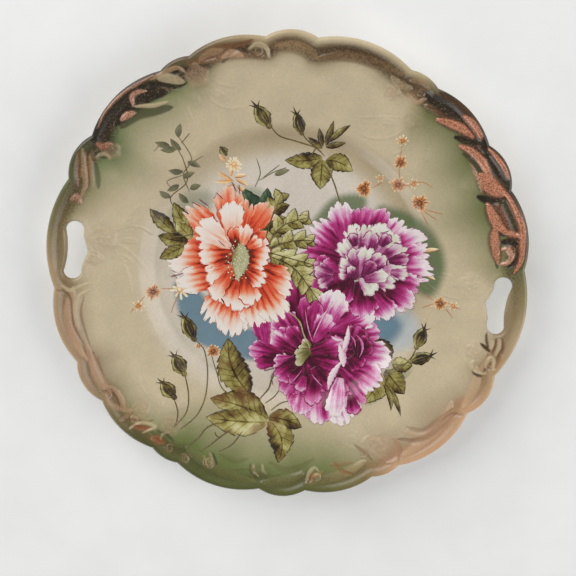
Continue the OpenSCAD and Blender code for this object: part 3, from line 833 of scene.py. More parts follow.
def plate_grid():
    """Both faces of the border as one closed grid: its number of rows, the points, each upper
    point's partner below, the distance to the openings, and what the points carry."""
    degrees, radius = border_rows()
    rows = len(radius)
    angle = np.radians(degrees)[None, :]
    x, y = (radius * np.cos(angle)).ravel(), (radius * np.sin(angle)).ravel()
    away = snap_to_slots(x, y)
    height, colour, lustre = dress(x, y)
    colour = shade_under_bouquet(x, y, colour)
    count = rows * COLUMNS
    last_row = np.arange(count) >= (rows - 1) * COLUMNS
    d = np.where(last_row, 0, np.maximum(inset(x, y), 0))
    keep_relief = ease(d / EDGE_ROUND) * ease(np.maximum(away, 0) / SLOT_FADE)
    fall = np.maximum(round_off(d, EDGE_ROUND), round_off(np.maximum(away, 0), SLOT_ROUND))
    r = np.hypot(x, y)
    plain, half = base_height(r), wall_at(r) / 2
    welded = last_row | (away == 0)
    top = plain - fall * half / EDGE_ROUND + height * keep_relief
    under = plain - 2 * half + fall * half / EDGE_ROUND
    top, under = np.where(welded, plain - half, top), np.where(welded, plain - half, under)
    points = np.vstack([np.stack([x, y, top], 1), np.stack([x, y, under], 1)])
    below = np.arange(count) + np.where(welded, 0, count)
    dark = np.clip(1.25 - colour.sum(1) / 0.9, 0, 1)
    depth = hump(d, 8, 9) * dark * np.maximum(ease(0.5 + y / 60), 0.4)
    return rows, points, below, away, colour, lustre, depth


def ring_quads(rows, columns):
    """Quads of a grid that closes all the way round, and the row and the column of each."""
    i, j = np.meshgrid(np.arange(rows - 1), np.arange(columns), indexing="ij")
    k = (j + 1) % columns
    quads = [i * columns + j, (i + 1) * columns + j, (i + 1) * columns + k, i * columns + k]
    return np.stack(quads, -1).reshape(-1, 4), i.ravel(), j.ravel()


def grid_faces(rows, away):
    """Quads and triangles of the upper face, with the finger openings left out."""
    quads, row, column = ring_quads(rows, COLUMNS)
    side = np.sign(away)[quads]
    inside, outside = (side < 0).sum(1), (side > 0).sum(1)
    keep = (inside == 0) & (outside > 0)
    corner = (inside == 1) & (outside == 1)
    bad = np.argmax(side[corner] < 0, 1)
    triangles = np.array([np.delete(q, b) for q, b in zip(quads[corner], bad)]).reshape(-1, 3)
    return quads[keep], row[keep], column[keep], triangles, row[corner], column[corner]


def unit(vectors):
    """The same directions with length 1."""
    return vectors / np.maximum(np.linalg.norm(vectors, axis=1), 1e-12)[:, None]


def vertex_normals(points, faces):
    """A normal for each point, the mean over the faces round it."""
    total = np.zeros_like(points)
    for f in faces:
        a, b, c = points[f[:, 0]], points[f[:, 1]], points[f[:, 2]]
        normal = np.cross(c - a, points[f[:, 3]] - b) if f.shape[1] == 4 else np.cross(b - a, c - a)
        for k in range(f.shape[1]):
            np.add.at(total, f[:, k], normal)
    return unit(total)


def flat_normals(points, faces):
    """A normal for each corner, square to its own face."""
    a, b, c = (points[faces[:, k]] for k in range(3))
    return np.repeat(unit(np.cross(b - a, c - a)), faces.shape[1], 0)


def open_edges(faces, base):
    """The edges that only one face has: their first and their second points."""
    edges = np.vstack([np.stack([f[:, k], f[:, (k + 1) % f.shape[1]]], 1)
                       for f in faces for k in range(f.shape[1])])
    code = edges[:, 0] * base + edges[:, 1]
    back = edges[:, 1] * base + edges[:, 0]
    return edges[~np.isin(code, back)].T


def side_walls(a, b, below):
    """Faces from the open edges of the upper face down to the lower one: quads, and triangles
    where one end is welded to the lower face."""
    low_a, low_b = below[a], below[b]
    loose_a, loose_b = low_a != a, low_b != b
    walls = np.stack([b, a, low_a, low_b], 1)[loose_a & loose_b]
    wedges = np.vstack([np.stack([b, a, low_a], 1)[loose_a & ~loose_b],
                        np.stack([b, a, low_b], 1)[loose_b & ~loose_a]])
    return [walls, wedges]


# Where the wall is thinner than this, near the edge, the paint runs round to the underside
PAINTED_WALL = 2.6


def add_plate():
    """The border as one closed grid, cut into the CAD's own sectors."""
    rows, points, below, away, colour, lustre, depth = plate_grid()
    quads, quad_row, quad_column, tris, tri_row, tri_column = grid_faces(rows, away)
    normals = vertex_normals(points, [quads, below[quads][:, ::-1], tris, below[tris][:, ::-1]])
    count = len(below)
    normals[:COLUMNS] = (0, 0, 1)
    normals[count:count + COLUMNS] = (0, 0, -1)
    paint = np.vstack([colour, np.tile(UNDER_WHITE, (count, 1))])
    thin = points[:count, 2] - points[count:, 2] < PAINTED_WALL
    paint[count:][thin] = (colour[thin] + UNDER_WHITE) / 2
    lustre, depth = (np.concatenate([values, np.zeros(count)]) for values in (lustre, depth))
    glaze = glaze_material()

    def piece(name, slot, replaced, first_row, last_row, first=0, last=COLUMNS):
        def chosen(row, column):
            return (row >= first_row) & (row < last_row) & (column >= first) & (column < last)
        top = quads[chosen(quad_row, quad_column)], tris[chosen(tri_row, tri_column)]
        skin = [face for f in top for face in (f, below[f][:, ::-1])]
        sides = side_walls(*open_edges(top, 2 * count), below)
        faces = skin + sides
        used = np.unique(np.concatenate([f.ravel() for f in faces]))
        lookup = np.full(2 * count, -1)
        lookup[used] = np.arange(len(used))
        corners = [normals[f].reshape(-1, 3) for f in skin] + [flat_normals(points, f) for f in sides]
        make_piece(name, points[used], [lookup[f] for f in faces if len(f)], glaze, replaced,
                   (("paint", paint[used]), ("lustre", lustre[used]), ("depth", depth[used])),
                   np.vstack(corners))

    flange_row = CAVETTO_ROWS + FLANGE_ROWS
    piece("cavetto_wall", "ivory_glaze", ["cavetto"], 0, CAVETTO_ROWS)
    for k, sixth in enumerate(SIXTHS):
        span = (k * COLUMNS_PER_SIXTH, (k + 1) * COLUMNS_PER_SIXTH)
        piece("flange_" + sixth, "ivory_glaze", ["flange", "rose_" + sixth],
              CAVETTO_ROWS, flange_row, *span)
        rim = ("handle_" if k % 3 == 0 else "rim_") + sixth
        piece("border_" + sixth, "rim_glaze", [rim, "band_" + sixth, "scroll_" + sixth],
              flange_row, rows - 1, *span)
    return glaze


# Airbrushed shades under the bouquet: colour, strength, how softly they end, outline in plan.
# None of them reaches beyond WASHED_R
WASHED_R = 92
BLUE, SHADOW_GREEN = srgb(92, 128, 146), srgb(98, 112, 74)
WASHES = (
    (BLUE, 0.9, 4, ((-62, -17), (-52, -18), (-40, -30), (-24, -38), (-12, -40), (-12, -54),
                     (-30, -52), (-46, -48), (-56, -36))),
    (srgb(176, 186, 190), 0.8, 8, ((60, -20), (72, -18), (76, -28), (66, -34))),
    (BLUE, 0.9, 7, ((48, -19), (60, -19), (66, -24), (62, -32), (54, -36))),
    (SHADOW_GREEN, 0.9, 5, ((12, 30), (22, 44), (36, 46), (30, 30))),
    (SHADOW_GREEN, 0.95, 6, ((48, 42), (62, 40), (76, 32), (84, 16), (80, 0), (66, 10), (56, 30))),
    (SHADOW_GREEN, 0.5, 5, ((-32, 36), (-28, 43), (-20, 42), (-20, 34))),
    (SHADOW_GREEN, 0.5, 7, ((-66, 24), (-60, 34), (-50, 36), (-56, 20))),
    (SHADOW_GREEN, 0.4, 7, ((64, -46), (76, -50), (72, -72), (60, -70))),
)


def wash(x, y, outline, soft):
    """1 inside a rounded outline, fading to 0 over soft mm outside it."""
    line = curve(list(outline) + [outline[0]], 2)
    a, b = line[:-1], line[1:]
    inside = np.zeros(len(x), bool)
    nearest = np.full(len(x), 1e9)
    for (ax, ay), (bx, by) in zip(a, b):
        crosses = (ay > y) != (by > y)
        if ay != by:
            inside ^= crosses & (x < (bx - ax) * (y - ay) / (by - ay) + ax)
        nearest = np.minimum(nearest, np.hypot(x - ax, y - ay))
    return np.where(inside, 1, ease(1 - nearest / soft))


def shade_under_bouquet(x, y, colour):
    """Lays the washes on the glaze's colours."""
    near = np.nonzero(np.hypot(x, y) < WASHED_R)[0]
    for shade, strength, soft, outline in WASHES:
        amount = strength * wash(x[near], y[near], outline, soft)
        colour[near] += (shade - colour[near]) * amount[:, None]
    return colour


def add_well(glaze):
    """The flat floor: a fine disc that carries the washes under the bouquet."""
    rows, columns = 122, COLUMNS // 2
    radius = np.linspace(0.6, WELL_R, rows)[:, None]
    angle = np.radians(np.arange(columns) * 360 / columns - 30)
    x = np.concatenate([[0], (radius * np.cos(angle)).ravel()])
    y = np.concatenate([[0], (radius * np.sin(angle)).ravel()])
    quads = ring_quads(rows, columns)[0] + 1
    j = np.arange(columns)
    after = (j + 1) % columns
    fan = np.stack([np.zeros(columns, int), 1 + j, 1 + after], 1)
    colour = shade_under_bouquet(x, y, dress(x, y)[1])
    top = np.stack([x, y, np.full(len(x), WELL_H)], 1)
    ring = 1 + (rows - 1) * columns + j
    lower = np.stack([x[ring], y[ring], np.full(columns, WELL_H - WALL)], 1)
    points = np.vstack([top, lower, [[0, 0, WELL_H - WALL]]])
    first = len(top)
    side = np.stack([ring[after], ring, first + j, first + after], 1)
    under = np.stack([np.full(columns, first + columns), first + after, first + j], 1)
    up, out = np.array([0, 0, 1.0]), np.stack([np.cos(angle), np.sin(angle), 0 * angle], 1)
    normals = np.vstack([np.tile(up, (quads.size + fan.size, 1)),
                         np.stack([out[after], out, out, out[after]], 1).reshape(-1, 3),
                         np.tile(-up, (under.size, 1))])
    colour = np.vstack([colour, np.tile(UNDER_WHITE, (columns + 1, 1))])
    zero = np.zeros(len(points))
    make_piece("well_floor_disc", points, [quads, fan, side, under], glaze,
               ["well_floor"], (("paint", colour), ("lustre", zero), ("depth", zero)), normals)


def add_foot():
    """The foot ring: rounded sides, and the flat face that was wiped clean for firing."""
    face, root, h = FOOT_FACE / 2, FOOT_TOP[0] - FOOT_MEAN_R, FOOT_TOP[2]
    # One side from the plate down to the face: distance from the ring's middle, height
    side = [(root, h), (root - 0.5, h - 0.7), (face + 0.75, 1.1), (face + 0.3, 0.35),
            (face, 0.08), (face - 0.3, 0)]
    profile = [(FOOT_MEAN_R + a, b) for a, b in side] + [(FOOT_MEAN_R - a, b) for a, b in side[::-1]]
    profile = np.array(profile)
    columns, rows = 360, len(profile)
    angle = np.radians(np.arange(columns))
    r, z = profile[:, :1], profile[:, 1:]
    points = np.stack([r * np.cos(angle), r * np.sin(angle), z + 0 * angle], -1).reshape(-1, 3)
    i, j = np.meshgrid(np.arange(rows), np.arange(columns), indexing="ij")
    n, k = (i + 1) % rows, (j + 1) % columns
    quads = np.stack([i * columns + j, i * columns + k, n * columns + k, n * columns + j], -1)
    bare = (points[:, 2] < 0.2).astype(float)
    make_piece("foot_ring_turned", points, [quads.reshape(-1, 4)], under_material(),
               ["foot_ring"], (("bare", bare),))


# ---------------------------------------------------------------- enamel, laid on in thin patches
# Height of a patch's lower skin, and how far a leaf's outline shows at its tip and its sides
UNDER_SKIN = -0.1
OUTLINE_TIP, OUTLINE_SIDE = 0.5, 0.35
SPRIG_SCALE = 1.12


class Sheet:
    """Thin raised patches of enamel, gathered into one piece that lies on the glaze.
    Every patch is closed: its lower skin lies just under the glaze."""

    def __init__(self):
        self.x, self.y, self.lift, self.tone, self.grain, self.faces = [], [], [], [], [], []
        self.count = 0

    def patch(self, x, y, lift, tone, grain):
        """Adds a grid of points as a closed patch; grain says where a point lies in the print."""
        rows, columns = x.shape
        n = rows * columns
        lift, tone = np.broadcast_to(lift, x.shape), np.broadcast_to(tone, x.shape)
        i, j = np.meshgrid(np.arange(rows - 1), np.arange(columns - 1), indexing="ij")
        a = i * columns + j
        top = np.stack([a, a + columns, a + columns + 1, a + 1], -1).reshape(-1, 4)
        grid = np.arange(n).reshape(rows, columns)
        rim = np.concatenate([grid[:, 0], grid[-1, 1:], grid[-2::-1, -1], grid[0, -2:0:-1]])
        after = np.roll(rim, -1)
        side = np.stack([after, rim, rim + n, after + n], 1)
        self.faces += [top + self.count, top[:, ::-1] + n + self.count, side + self.count]
        for kept, values in ((self.x, x), (self.y, y), (self.tone, tone)):
            kept += [values.ravel()] * 2
        self.lift += [lift.ravel(), np.full(n, UNDER_SKIN)]
        self.grain += [grain.reshape(-1, 3)] * 2
        self.count += 2 * n

    def make(self, name, material, slot, replaced):
        """Lays the patches on the glaze, as one piece."""
        x, y = np.concatenate(self.x), np.concatenate(self.y)
        z = base_height(np.hypot(x, y)) + dress(x, y)[0] + np.concatenate(self.lift)
        make_piece(name, np.stack([x, y, z], 1), self.faces, material, replaced,
                   (("tone", np.concatenate(self.tone)), ("grain", np.vstack(self.grain))))


def axis_of(base, tip):
    """Where a shape starts, the vector to its tip, its length, and the unit vector across it."""
    base, tip = np.array(base, float), np.array(tip, float)
    axis = tip - base
    length = np.hypot(*axis)
    return base, axis, length, np.array([-axis[1], axis[0]]) / length


def petal(sheet, base, tip, half, tone, lift, bend, seed, lobes=None, rough=0.17,
          narrow=0.3, hold=0.2, rim=0.2, crown=0.006, margin=0):
    """A petal that widens from its base to a ruffled, lobed edge. Tone runs from base to tip,
    and a darker fold runs down from each cleft between two lobes. A margin makes the same
    petal that much larger, for the outline under it."""
    rng = np.random.default_rng(seed)
    base, axis, length, across = axis_of(base, tip)
    lobes = lobes or max(2, round(half * 0.42))
    s = np.linspace(0, 1, int(np.clip(length / 0.7, 10, 42)))[:, None]
    t = np.linspace(-1, 1, int(np.clip(half * 6, 17, 81)))[None, :]
    axis *= 1 + margin / length
    half += margin
    place = (t + 1) / 2 * lobes + rng.uniform()
    deep = rng.uniform(0.2, 1, lobes + 3)[(place + 0.5).astype(int)]
    cleft = (0.5 + 0.5 * np.cos(2 * np.pi * place)) ** 2 * deep
    wobble = rng.uniform(0, 6) + 2.3 * place + 0.35 * np.sin(7 * place + seed)
    frill = 1 - np.abs(np.sin(np.pi * wobble))
    fringe = rough * (cleft ** 1.5 + 0.33 * frill ** 1.5) + 0.2 * t * t
    u = s * np.minimum(1, 1 / np.sqrt(3 * np.maximum(fringe, 0.01)))
    along = u * (1 - fringe * u ** 2)
    wave = 1 + 0.05 * np.sin(17 * s + seed) + 0.03 * np.sin(31 * s + 2 * seed)
    width = half * (narrow + (1 - narrow) * s ** 0.7 * (1 - 0.14 * s ** 5)) * wave
    x, y = (base[k] + axis[k] * along + across[k] * (t * width + bend * length * along ** 2)
            for k in (0, 1))
    dome = np.sqrt(np.clip(np.sin(np.pi * np.clip(s * 0.96 + 0.02, 0, 1)), 0, 1)) * (1 - t * t)
    height = lift + crown * (dome - 0.6 * s * cleft)
    rise = ease((s - 0.16 * cleft - 0.05 * frill - hold) / (1.02 - hold))
    shade = tone[0] + (tone[1] - tone[0]) * rise + rim * s ** 2 * np.abs(t) ** 8
    shade = shade - 0.12 * (1 - s) * t * t + rim * s ** 24
    shade = shade - 0.5 * s * (1 - 0.8 * s) * (cleft - 0.25)
    grain = np.stack([t * half + 0 * s, length * along, 0 * along + 7.3 * seed], -1)
    sheet.patch(x, y, height, shade, grain)


def leaf(sheet, base, tip, half, tone, lift, bend, seed, teeth, rough=0.16, tall=0.04):
    """A pointed leaf with toothed sides; grain carries (side, along, seed) for its veins."""
    rng = np.random.default_rng(seed)
    base, axis, length, across = axis_of(base, tip)
    s = np.linspace(0, 1, max(11, 6 * teeth + 1))[:, None]
    t = np.linspace(-1, 1, int(np.clip(half * 3, 5, 21)))[None, :]
    size = rng.uniform(0.5, 1.6, (2, teeth + 2))[(t > 0).astype(int), (s * teeth).astype(int)]
    saw = ((s * teeth) % 1) ** 1.4 * size
    width = half * np.sin(np.pi * s ** 0.82) ** 0.85 * (1 - rough * saw)
    bow = bend * length * 4 * s * (1 - s)
    x, y = (base[k] + axis[k] * s + across[k] * (t * width + bow) for k in (0, 1))
    rib = 1 - 0.8 * np.exp(-(t / 0.12) ** 2)
    height = lift + tall * np.sqrt(np.clip(np.sin(np.pi * s), 0, 1)) * (1 - t * t) * rib
    shade = tone[0] + (tone[1] - tone[0]) * s + 0.2 * t - 0.2 * np.abs(t) ** 4
    grain = np.stack([t + 0 * s, s * teeth + 0 * t, 0 * t * s + 3.1 * seed], -1)
    sheet.patch(x, y, height, shade, grain)


def outlined_leaf(sheet, base, tip, half, tone, lift, bend, seed, teeth):
    """A leaf over a slightly larger dark one, as the printer's outline."""
    _, axis, length, _ = axis_of(base, tip)
    out = axis / length * OUTLINE_TIP
    leaf(sheet, base, tip + out, half + OUTLINE_SIDE, (0.05, 0.12), lift - 0.01, bend, seed,
         teeth, tall=0)
    leaf(sheet, base, tip, half, tone, lift, bend, seed, teeth)


def frond(sheet, points, reach, count, tone, lift, seed):
    """A deeply lobed leaf: pointed lobes in pairs along a curved midrib."""
    line = curve(points, 0.5)
    step = np.gradient(line, axis=0)
    chord = line[-1] - line[0]
    sag = line[len(line) // 2] - (line[0] + line[-1]) / 2
    bend = (chord[0] * sag[1] - chord[1] * sag[0]) / (chord @ chord)
    outlined_leaf(sheet, line[0], line[-1], reach * 0.42, (tone - 0.2, tone), lift - 0.03, bend,
                  seed, 4)
    for k in range(count):
        share = (k + 0.4) / count
        i = int(share * (len(line) - 1))
        size = reach * math.sin(math.pi * (0.18 + 0.7 * share))
        for side in (-1, 1):
            turn = math.atan2(step[i, 1], step[i, 0]) + side * (0.85 - 0.3 * share)
            tip = line[i] + size * np.array([math.cos(turn), math.sin(turn)])
            shade = tone + 0.12 * side
            outlined_leaf(sheet, line[i], tip, 0.8 + size * 0.24, (shade - 0.15, shade + 0.18),
                          lift + 0.012 * (2 * k + side), -side * 0.1, seed + 2 * k + side, 4)
    end, above = line[int(len(line) * 0.8)], lift + 0.03 * count
    outlined_leaf(sheet, end, line[-1], reach * 0.22, (tone, tone + 0.2), above, 0, seed, 4)
    thread(sheet, points, 0.7, 0.12, above)


def thread(sheet, points, width, tone, lift, tall=0.25):
    """A fine painted line: a low rounded ribbon that tapers a little at both ends."""
    line = curve(points, 0.8)
    step = np.gradient(line, axis=0)
    step /= np.maximum(np.hypot(step[:, 0], step[:, 1]), 1e-9)[:, None]
    s = np.linspace(0, 1, len(line))[:, None]
    t = np.linspace(-1, 1, 5)[None, :]
    half = width / 2 * (0.35 + 0.65 * np.sin(np.pi * s) ** 0.4)
    x = line[:, :1] - step[:, 1:] * t * half
    y = line[:, 1:] + step[:, :1] * t * half
    height = lift + tall * width * (1 - t * t)
    shade = tone + 0.15 * (1 - t * t) + 0 * s
    grain = np.stack([t * half, s * len(line) * 0.8 + 0 * t, np.zeros_like(x)], -1)
    sheet.patch(x, y, height, shade, grain)


def star(sheet, centre, size, rays, tone, lift, seed):
    """A small flower of thin rays round a raised bead."""
    size *= SPRIG_SCALE
    rng = np.random.default_rng(seed)

    def ray(turn, reach, half, tones, height, k):
        angle = 2 * math.pi * turn
        tip = centre[0] + reach * math.cos(angle), centre[1] + reach * math.sin(angle)
        petal(sheet, centre, tip, half, tones, height, 0, seed + k, lobes=1, rough=0.05)

    for k in range(rays):
        turn = (k + rng.uniform(-0.25, 0.25)) / rays
        ray(turn, size * rng.uniform(0.75, 1.1), size * 0.13, (tone - 0.2, tone + 0.45),
            lift + 0.012 * (k % 3), k)
    for k in range(rays // 2):
        ray((k + 0.3) / (rays // 2), 0.5 * size, size * 0.1, (tone - 0.3, tone + 0.2), lift + 0.05, k)
    bead(sheet, centre, size * 0.22, tone - 0.2, lift + 0.08)


def bead(sheet, centre, r, tone, lift):
    """A small dome."""
    rho = np.linspace(0.02, 1, 5)[:, None]
    phi = np.linspace(0, 2 * math.pi, 11)[None, :]
    u, v = r * rho * np.cos(phi), r * rho * np.sin(phi)
    height = lift + 0.45 * r * np.sqrt(np.clip(1 - rho ** 2, 0, 1)) + 0 * phi
    grain = np.stack([u, v, 0 * u], -1)
    sheet.patch(centre[0] + u, centre[1] + v, height, tone + 0.25 * (1 - rho) + 0 * phi, grain)


def veined_tone(n, grain, tone):
    """A leaf's tone, blotched and with darker veins, and the veins as relief."""
    part = n.add("ShaderNodeSeparateXYZ")
    n.put(part.inputs[0], grain)
    side = n.math("ABSOLUTE", part.outputs[0])
    wave = n.math("PINGPONG", n.math("SUBTRACT", part.outputs[1], n.times(side, 1.3)), 0.5)
    ribs = n.times(n.span(wave, 0.0, 0.13, 1, 0), 0.75)
    lines = n.math("MAXIMUM", ribs, n.span(side, 0.03, 0.1, 1, 0))
    tone = n.math("ADD", tone, n.cloud(150, 3, 0.3, 0.7, -0.24, 0.28))
    return n.math("SUBTRACT", tone, n.times(lines, 0.36)), n.times(lines, -1)


def streaked_tone(n, grain, tone, streak):
    """A petal's tone with fine brushed streaks along it, and the streaks as relief."""
    broad = n.noise(1, 2, n.stretch(grain, 0.3, 0.05, 1))
    sharp = n.noise(1, 2, n.stretch(grain, 1.3, 0.07, 1))
    relief = n.math("MULTIPLY_ADD", sharp, 0.35, broad)
    drift = n.math("SUBTRACT", n.math("MULTIPLY_ADD", n.noise(170, 2), 0.5, relief), 0.92)
    return n.math("ADD", tone, n.times(drift, streak * 2)), relief


def enamel_material(name, stops, streak=0.35, veins=False, rust=0):
    """Printed and hand-tinted enamel. Tone chooses the colour; the nodes draw the fine
    brushed streaks that follow each petal, the stipple of the print, or a leaf's veins."""
    n = Nodes(name)
    grain, tone = n.attribute("grain", "Vector"), n.attribute("tone")
    tone, relief = veined_tone(n, grain, tone) if veins else streaked_tone(n, grain, tone, streak)
    tone = n.math("ADD", tone, n.cloud(1400, 1, 0.3, 0.7, -0.05, 0.05))
    colour = n.ramp(tone, [(at, srgb(*c)) for at, c in stops])
    if rust:
        colour = n.mix(n.cloud(70, 2, 0.5, 0.62, 0, rust), colour, srgb(118, 76, 40))
    return n.finish(colour, n.cloud(400, 2, 0.3, 0.7, 0.32, 0.44), relief, 0.25, 0.0001, coat=0.12)


# Enamel colours by tone, from dark to pale: tone, screen colour
CORAL = ((0, (110, 30, 14)), (0.12, (196, 56, 28)), (0.28, (226, 92, 56)), (0.44, (234, 134, 98)),
         (0.6, (238, 180, 152)), (0.76, (238, 212, 196)), (1, (240, 230, 220)))
MAGENTA = ((0, (70, 4, 34)), (0.14, (116, 10, 62)), (0.32, (162, 28, 102)), (0.5, (192, 68, 138)),
           (0.66, (212, 134, 178)), (0.82, (226, 190, 208)), (1, (236, 226, 224)))
PALE = ((0, (96, 16, 62)), (0.2, (150, 44, 106)), (0.4, (192, 126, 162)), (0.58, (214, 188, 198)),
        (0.75, (214, 212, 190)), (1, (230, 228, 216)))
LEAF = ((0, (44, 32, 14)), (0.2, (92, 72, 34)), (0.4, (136, 124, 60)), (0.66, (176, 168, 104)),
        (1, (214, 206, 158)))
TEAL = ((0, (26, 40, 28)), (0.4, (58, 82, 60)), (0.8, (110, 128, 92)), (1, (150, 158, 118)))
GILT = ((0, (88, 50, 22)), (0.3, (156, 92, 44)), (0.5, (204, 132, 76)), (0.72, (230, 180, 122)),
        (1, (244, 228, 190)))
GREYED = ((0, (84, 82, 56)), (0.5, (128, 124, 92)), (1, (168, 162, 128)))
CREAMY = ((0, (92, 84, 36)), (0.35, (146, 138, 82)), (0.7, (196, 194, 156)), (1, (232, 226, 198)))

# Petals in plan: base, tip, half width, tone at the base and at the tip
CORAL_BACK = (
    ((-38, 10), (-61, 13), 8, 0.12, 0.62), ((-37, 12), (-62, 29), 10, 0.2, 0.66),
    ((-36, 2), (-70, -2), 13, 0.06, 1.15), ((-34, -6), (-63, -16), 9, 0.1, 1.2),
    ((-34, 14), (-38, 45), 10, 0.12, 0.6), ((-30, 15), (-27, 38), 6, 0.1, 0.5),
    ((-25, 18), (-14, 38), 7, 0.16, 0.56), ((-24, 13), (-14, 21), 5, 0.05, 0.45),
    ((-30, -8), (-43, -37), 9, 0.14, 1.1), ((-27, -9), (-29, -44), 11, 0.14, 1.15),
    ((-22, -8), (-13, -36), 10, 0.2, 1.1), ((-17, 2), (2, -4), 6, 0.1, 0.7),
    ((-19, -2), (4, -13), 9, 0.1, 1.0), ((-17, -6), (0, -30), 10, 0.12, 1.1),
)
CORAL_FRONT = (
    ((-32, 7), (-51, 1), 12, 0.1, 1.0), ((-31, -2), (-44, -13), 8, 0.3, 1.1),
    ((-33, 11), (-54, 21), 8, 0.68, 1.05), ((-33, 13), (-36, 36), 7, 0.6, 1.05),
    ((-30, -3), (-39, -24), 8, 0.2, 1.1), ((-26, -5), (-27, -28), 9, 0.1, 1.1),
    ((-23, -4), (-18, -23), 7, 0.12, 1.05), ((-27, 8), (-11, 6), 12, -0.1, 1.1),
    ((-24, -2), (-12, -9), 6, 0.1, 1.1), ((-30, 9), (-33, 22), 4.5, 0.0, 0.5),
    ((-27, 12), (-26, 24), 4, 0.5, 0.9), ((-24, 11), (-17, 17), 4, 0.3, 0.9),
)
UPPER_BACK = (
    ((32, 13), (6, 16), 8, 0.15, 0.55), ((32, 16), (10, 30), 9, 0.2, 0.95),
    ((32, 20), (23, 44), 8, 0.4, 1.0), ((38, 24), (40, 43), 9, 0.2, 0.62),
    ((44, 26), (50, 44), 6, 0.1, 0.8), ((50, 24), (61, 38), 7, 0.5, 1.0),
    ((50, 16), (75, 31), 9, 0.1, 1.2), ((52, 14), (78, 22), 7, 0.16, 1.0),
    ((52, 8), (82, 12), 9, 0.1, 1.2), ((52, 4), (76, -1), 9, 0.05, 0.85),
    ((50, 0), (75, -11), 8, 0.1, 1.0), ((48, -4), (63, -20), 8, 0.15, 1.05),
    ((42, 0), (47, -21), 10, 0.05, 0.62), ((36, 2), (32, -14), 7, 0.0, 0.45),
    ((30, 0), (16, -10), 7, 0.0, 0.4), ((34, 6), (14, 6), 7, 0.05, 0.5),
    ((34, 2), (17, 3), 9, 0.2, 0.62),
)
UPPER_FRONT = (
    ((39, 10), (28, 22), 6, 0.3, 1.1), ((40, 12), (33, 32), 6, 0.45, 1.1),
    ((42, 14), (41, 34), 6, 0.1, 0.95), ((45, 14), (50, 35), 6, 0.4, 1.1),
    ((47, 12), (58, 31), 7, 0.3, 0.95), ((48, 10), (66, 22), 7, 0.1, 0.7),
    ((47, 6), (66, 12), 7, 0.4, 1.1), ((46, 3), (62, 0), 5, 0.2, 0.95),
    ((42, 2), (51, -6), 5, 0.5, 1.05), ((38, 4), (29, 4), 5, 0.2, 1.0), ((40, 6), (30, 13), 6, 0.1, 1.0),
    ((56, 14), (67, 17), 4, 0.0, 0.5), ((58, 8), (68, 7), 3.5, 0.3, 0.9),
)
UPPER_HEART = (
    ((43, 12), (44, 30), 5, 0.0, 0.5), ((42, 5), (35, 19), 5, 0.0, 0.6),
    ((42, 3), (43, 21), 5, 0.3, 1.1), ((45, 4), (53, 18), 5, 0.05, 0.8),
    ((43, 2), (48, 13), 4, 0.0, 0.4), ((44, 1), (57, 6), 4, 0.2, 1.0), ((40, 1), (34, 8), 3, 0.0, 0.9),
    ((36, 20), (33, 27), 3, 0.0, 0.5), ((50, 22), (54, 29), 3.4, 0.05, 0.55),
    ((26, 2), (15, 4), 5, 0.1, 0.62), ((26, 0), (19, -6), 4, 0.2, 0.75),
)
LOWER_BACK = (
    ((21, -26), (22, -66), 15, 0.0, 0.25), ((2, -44), (40, -46), 13, 0.0, 0.2),
    ((14, -38), (3, -4), 8, -0.05, 0.36), ((17, -36), (13, -12), 6, 0.1, 0.5),
    ((13, -42), (-3, -25), 9, 0.15, 0.7), ((12, -46), (-4, -38), 9, 0.1, 0.75),
    ((-7, -46), (-13, -29), 6.5, 0.3, 0.3), ((4, -50), (-17, -50), 7, 0.15, 0.7),
    ((3, -54), (-12, -58), 5, 0.0, 0.4), ((10, -52), (-1, -55), 4, 0.5, 0.8),
    ((34, -34), (58, -29), 9, 0.1, 0.7), ((28, -32), (52, -15), 11, 0.25, 1.0),
    ((36, -44), (67, -43), 10, 0.1, 1.0), ((35, -50), (63, -58), 9, 0.1, 0.95),
    ((33, -54), (54, -74), 9, 0.2, 0.8), ((30, -56), (46, -86), 9, 0.45, 0.95),
    ((25, -56), (30, -88), 10, 0.1, 0.72), ((20, -56), (17, -84), 9, 0.1, 0.68),
    ((16, -54), (7, -75), 8, 0.05, 0.55), ((14, -52), (2, -66), 8, 0.0, 0.6),
    ((22, -36), (31, -7), 10, 0.4, 1.05),
)
LOWER_FRONT = (
    ((18, -42), (19, -15), 5, 0.1, 0.4), ((20, -40), (27, -22), 6, 0.35, 0.7),
    ((16, -45), (4, -33), 5, 0.1, 0.5), ((19, -47), (40, -40), 8, 0.15, 0.7),
    ((20, -51), (38, -55), 8, 0.0, 0.4), ((22, -56), (33, -69), 6, 0.05, 0.4),
    ((24, -60), (24, -78), 6, 0.1, 0.6), ((16, -56), (11, -68), 5, 0.0, 0.5),
    ((42, -40), (46, -27), 7, 0.0, 0.3), ((44, -42), (54, -36), 7, 0.0, 0.35),
    ((43, -46), (50, -52), 6, 0.0, 0.35), ((36, -58), (41, -70), 6, 0.1, 0.5),
    ((39, -60), (38, -82), 6, 0.75, 1.0), ((18, -62), (16, -72), 3.5, 0.3, 0.85),
    ((46, -68), (50, -78), 4, 0.1, 0.5),
)
# Lobed leaves: midrib, reach of the lobes, pairs of lobes, tone
FRONDS = (
    (((-15, 14), (-13, 28), (-9, 44)), 11, 4, 0.34), (((-14, 13), (-6, 26), (8, 33)), 10, 4, 0.6),
    (((-13, 12), (0, 18), (12, 20)), 9, 4, 0.62), (((-13, 10), (0, 8), (14, 6)), 9, 4, 0.66),
    (((-12, 8), (4, 2), (22, -17)), 11, 6, 0.7),
)
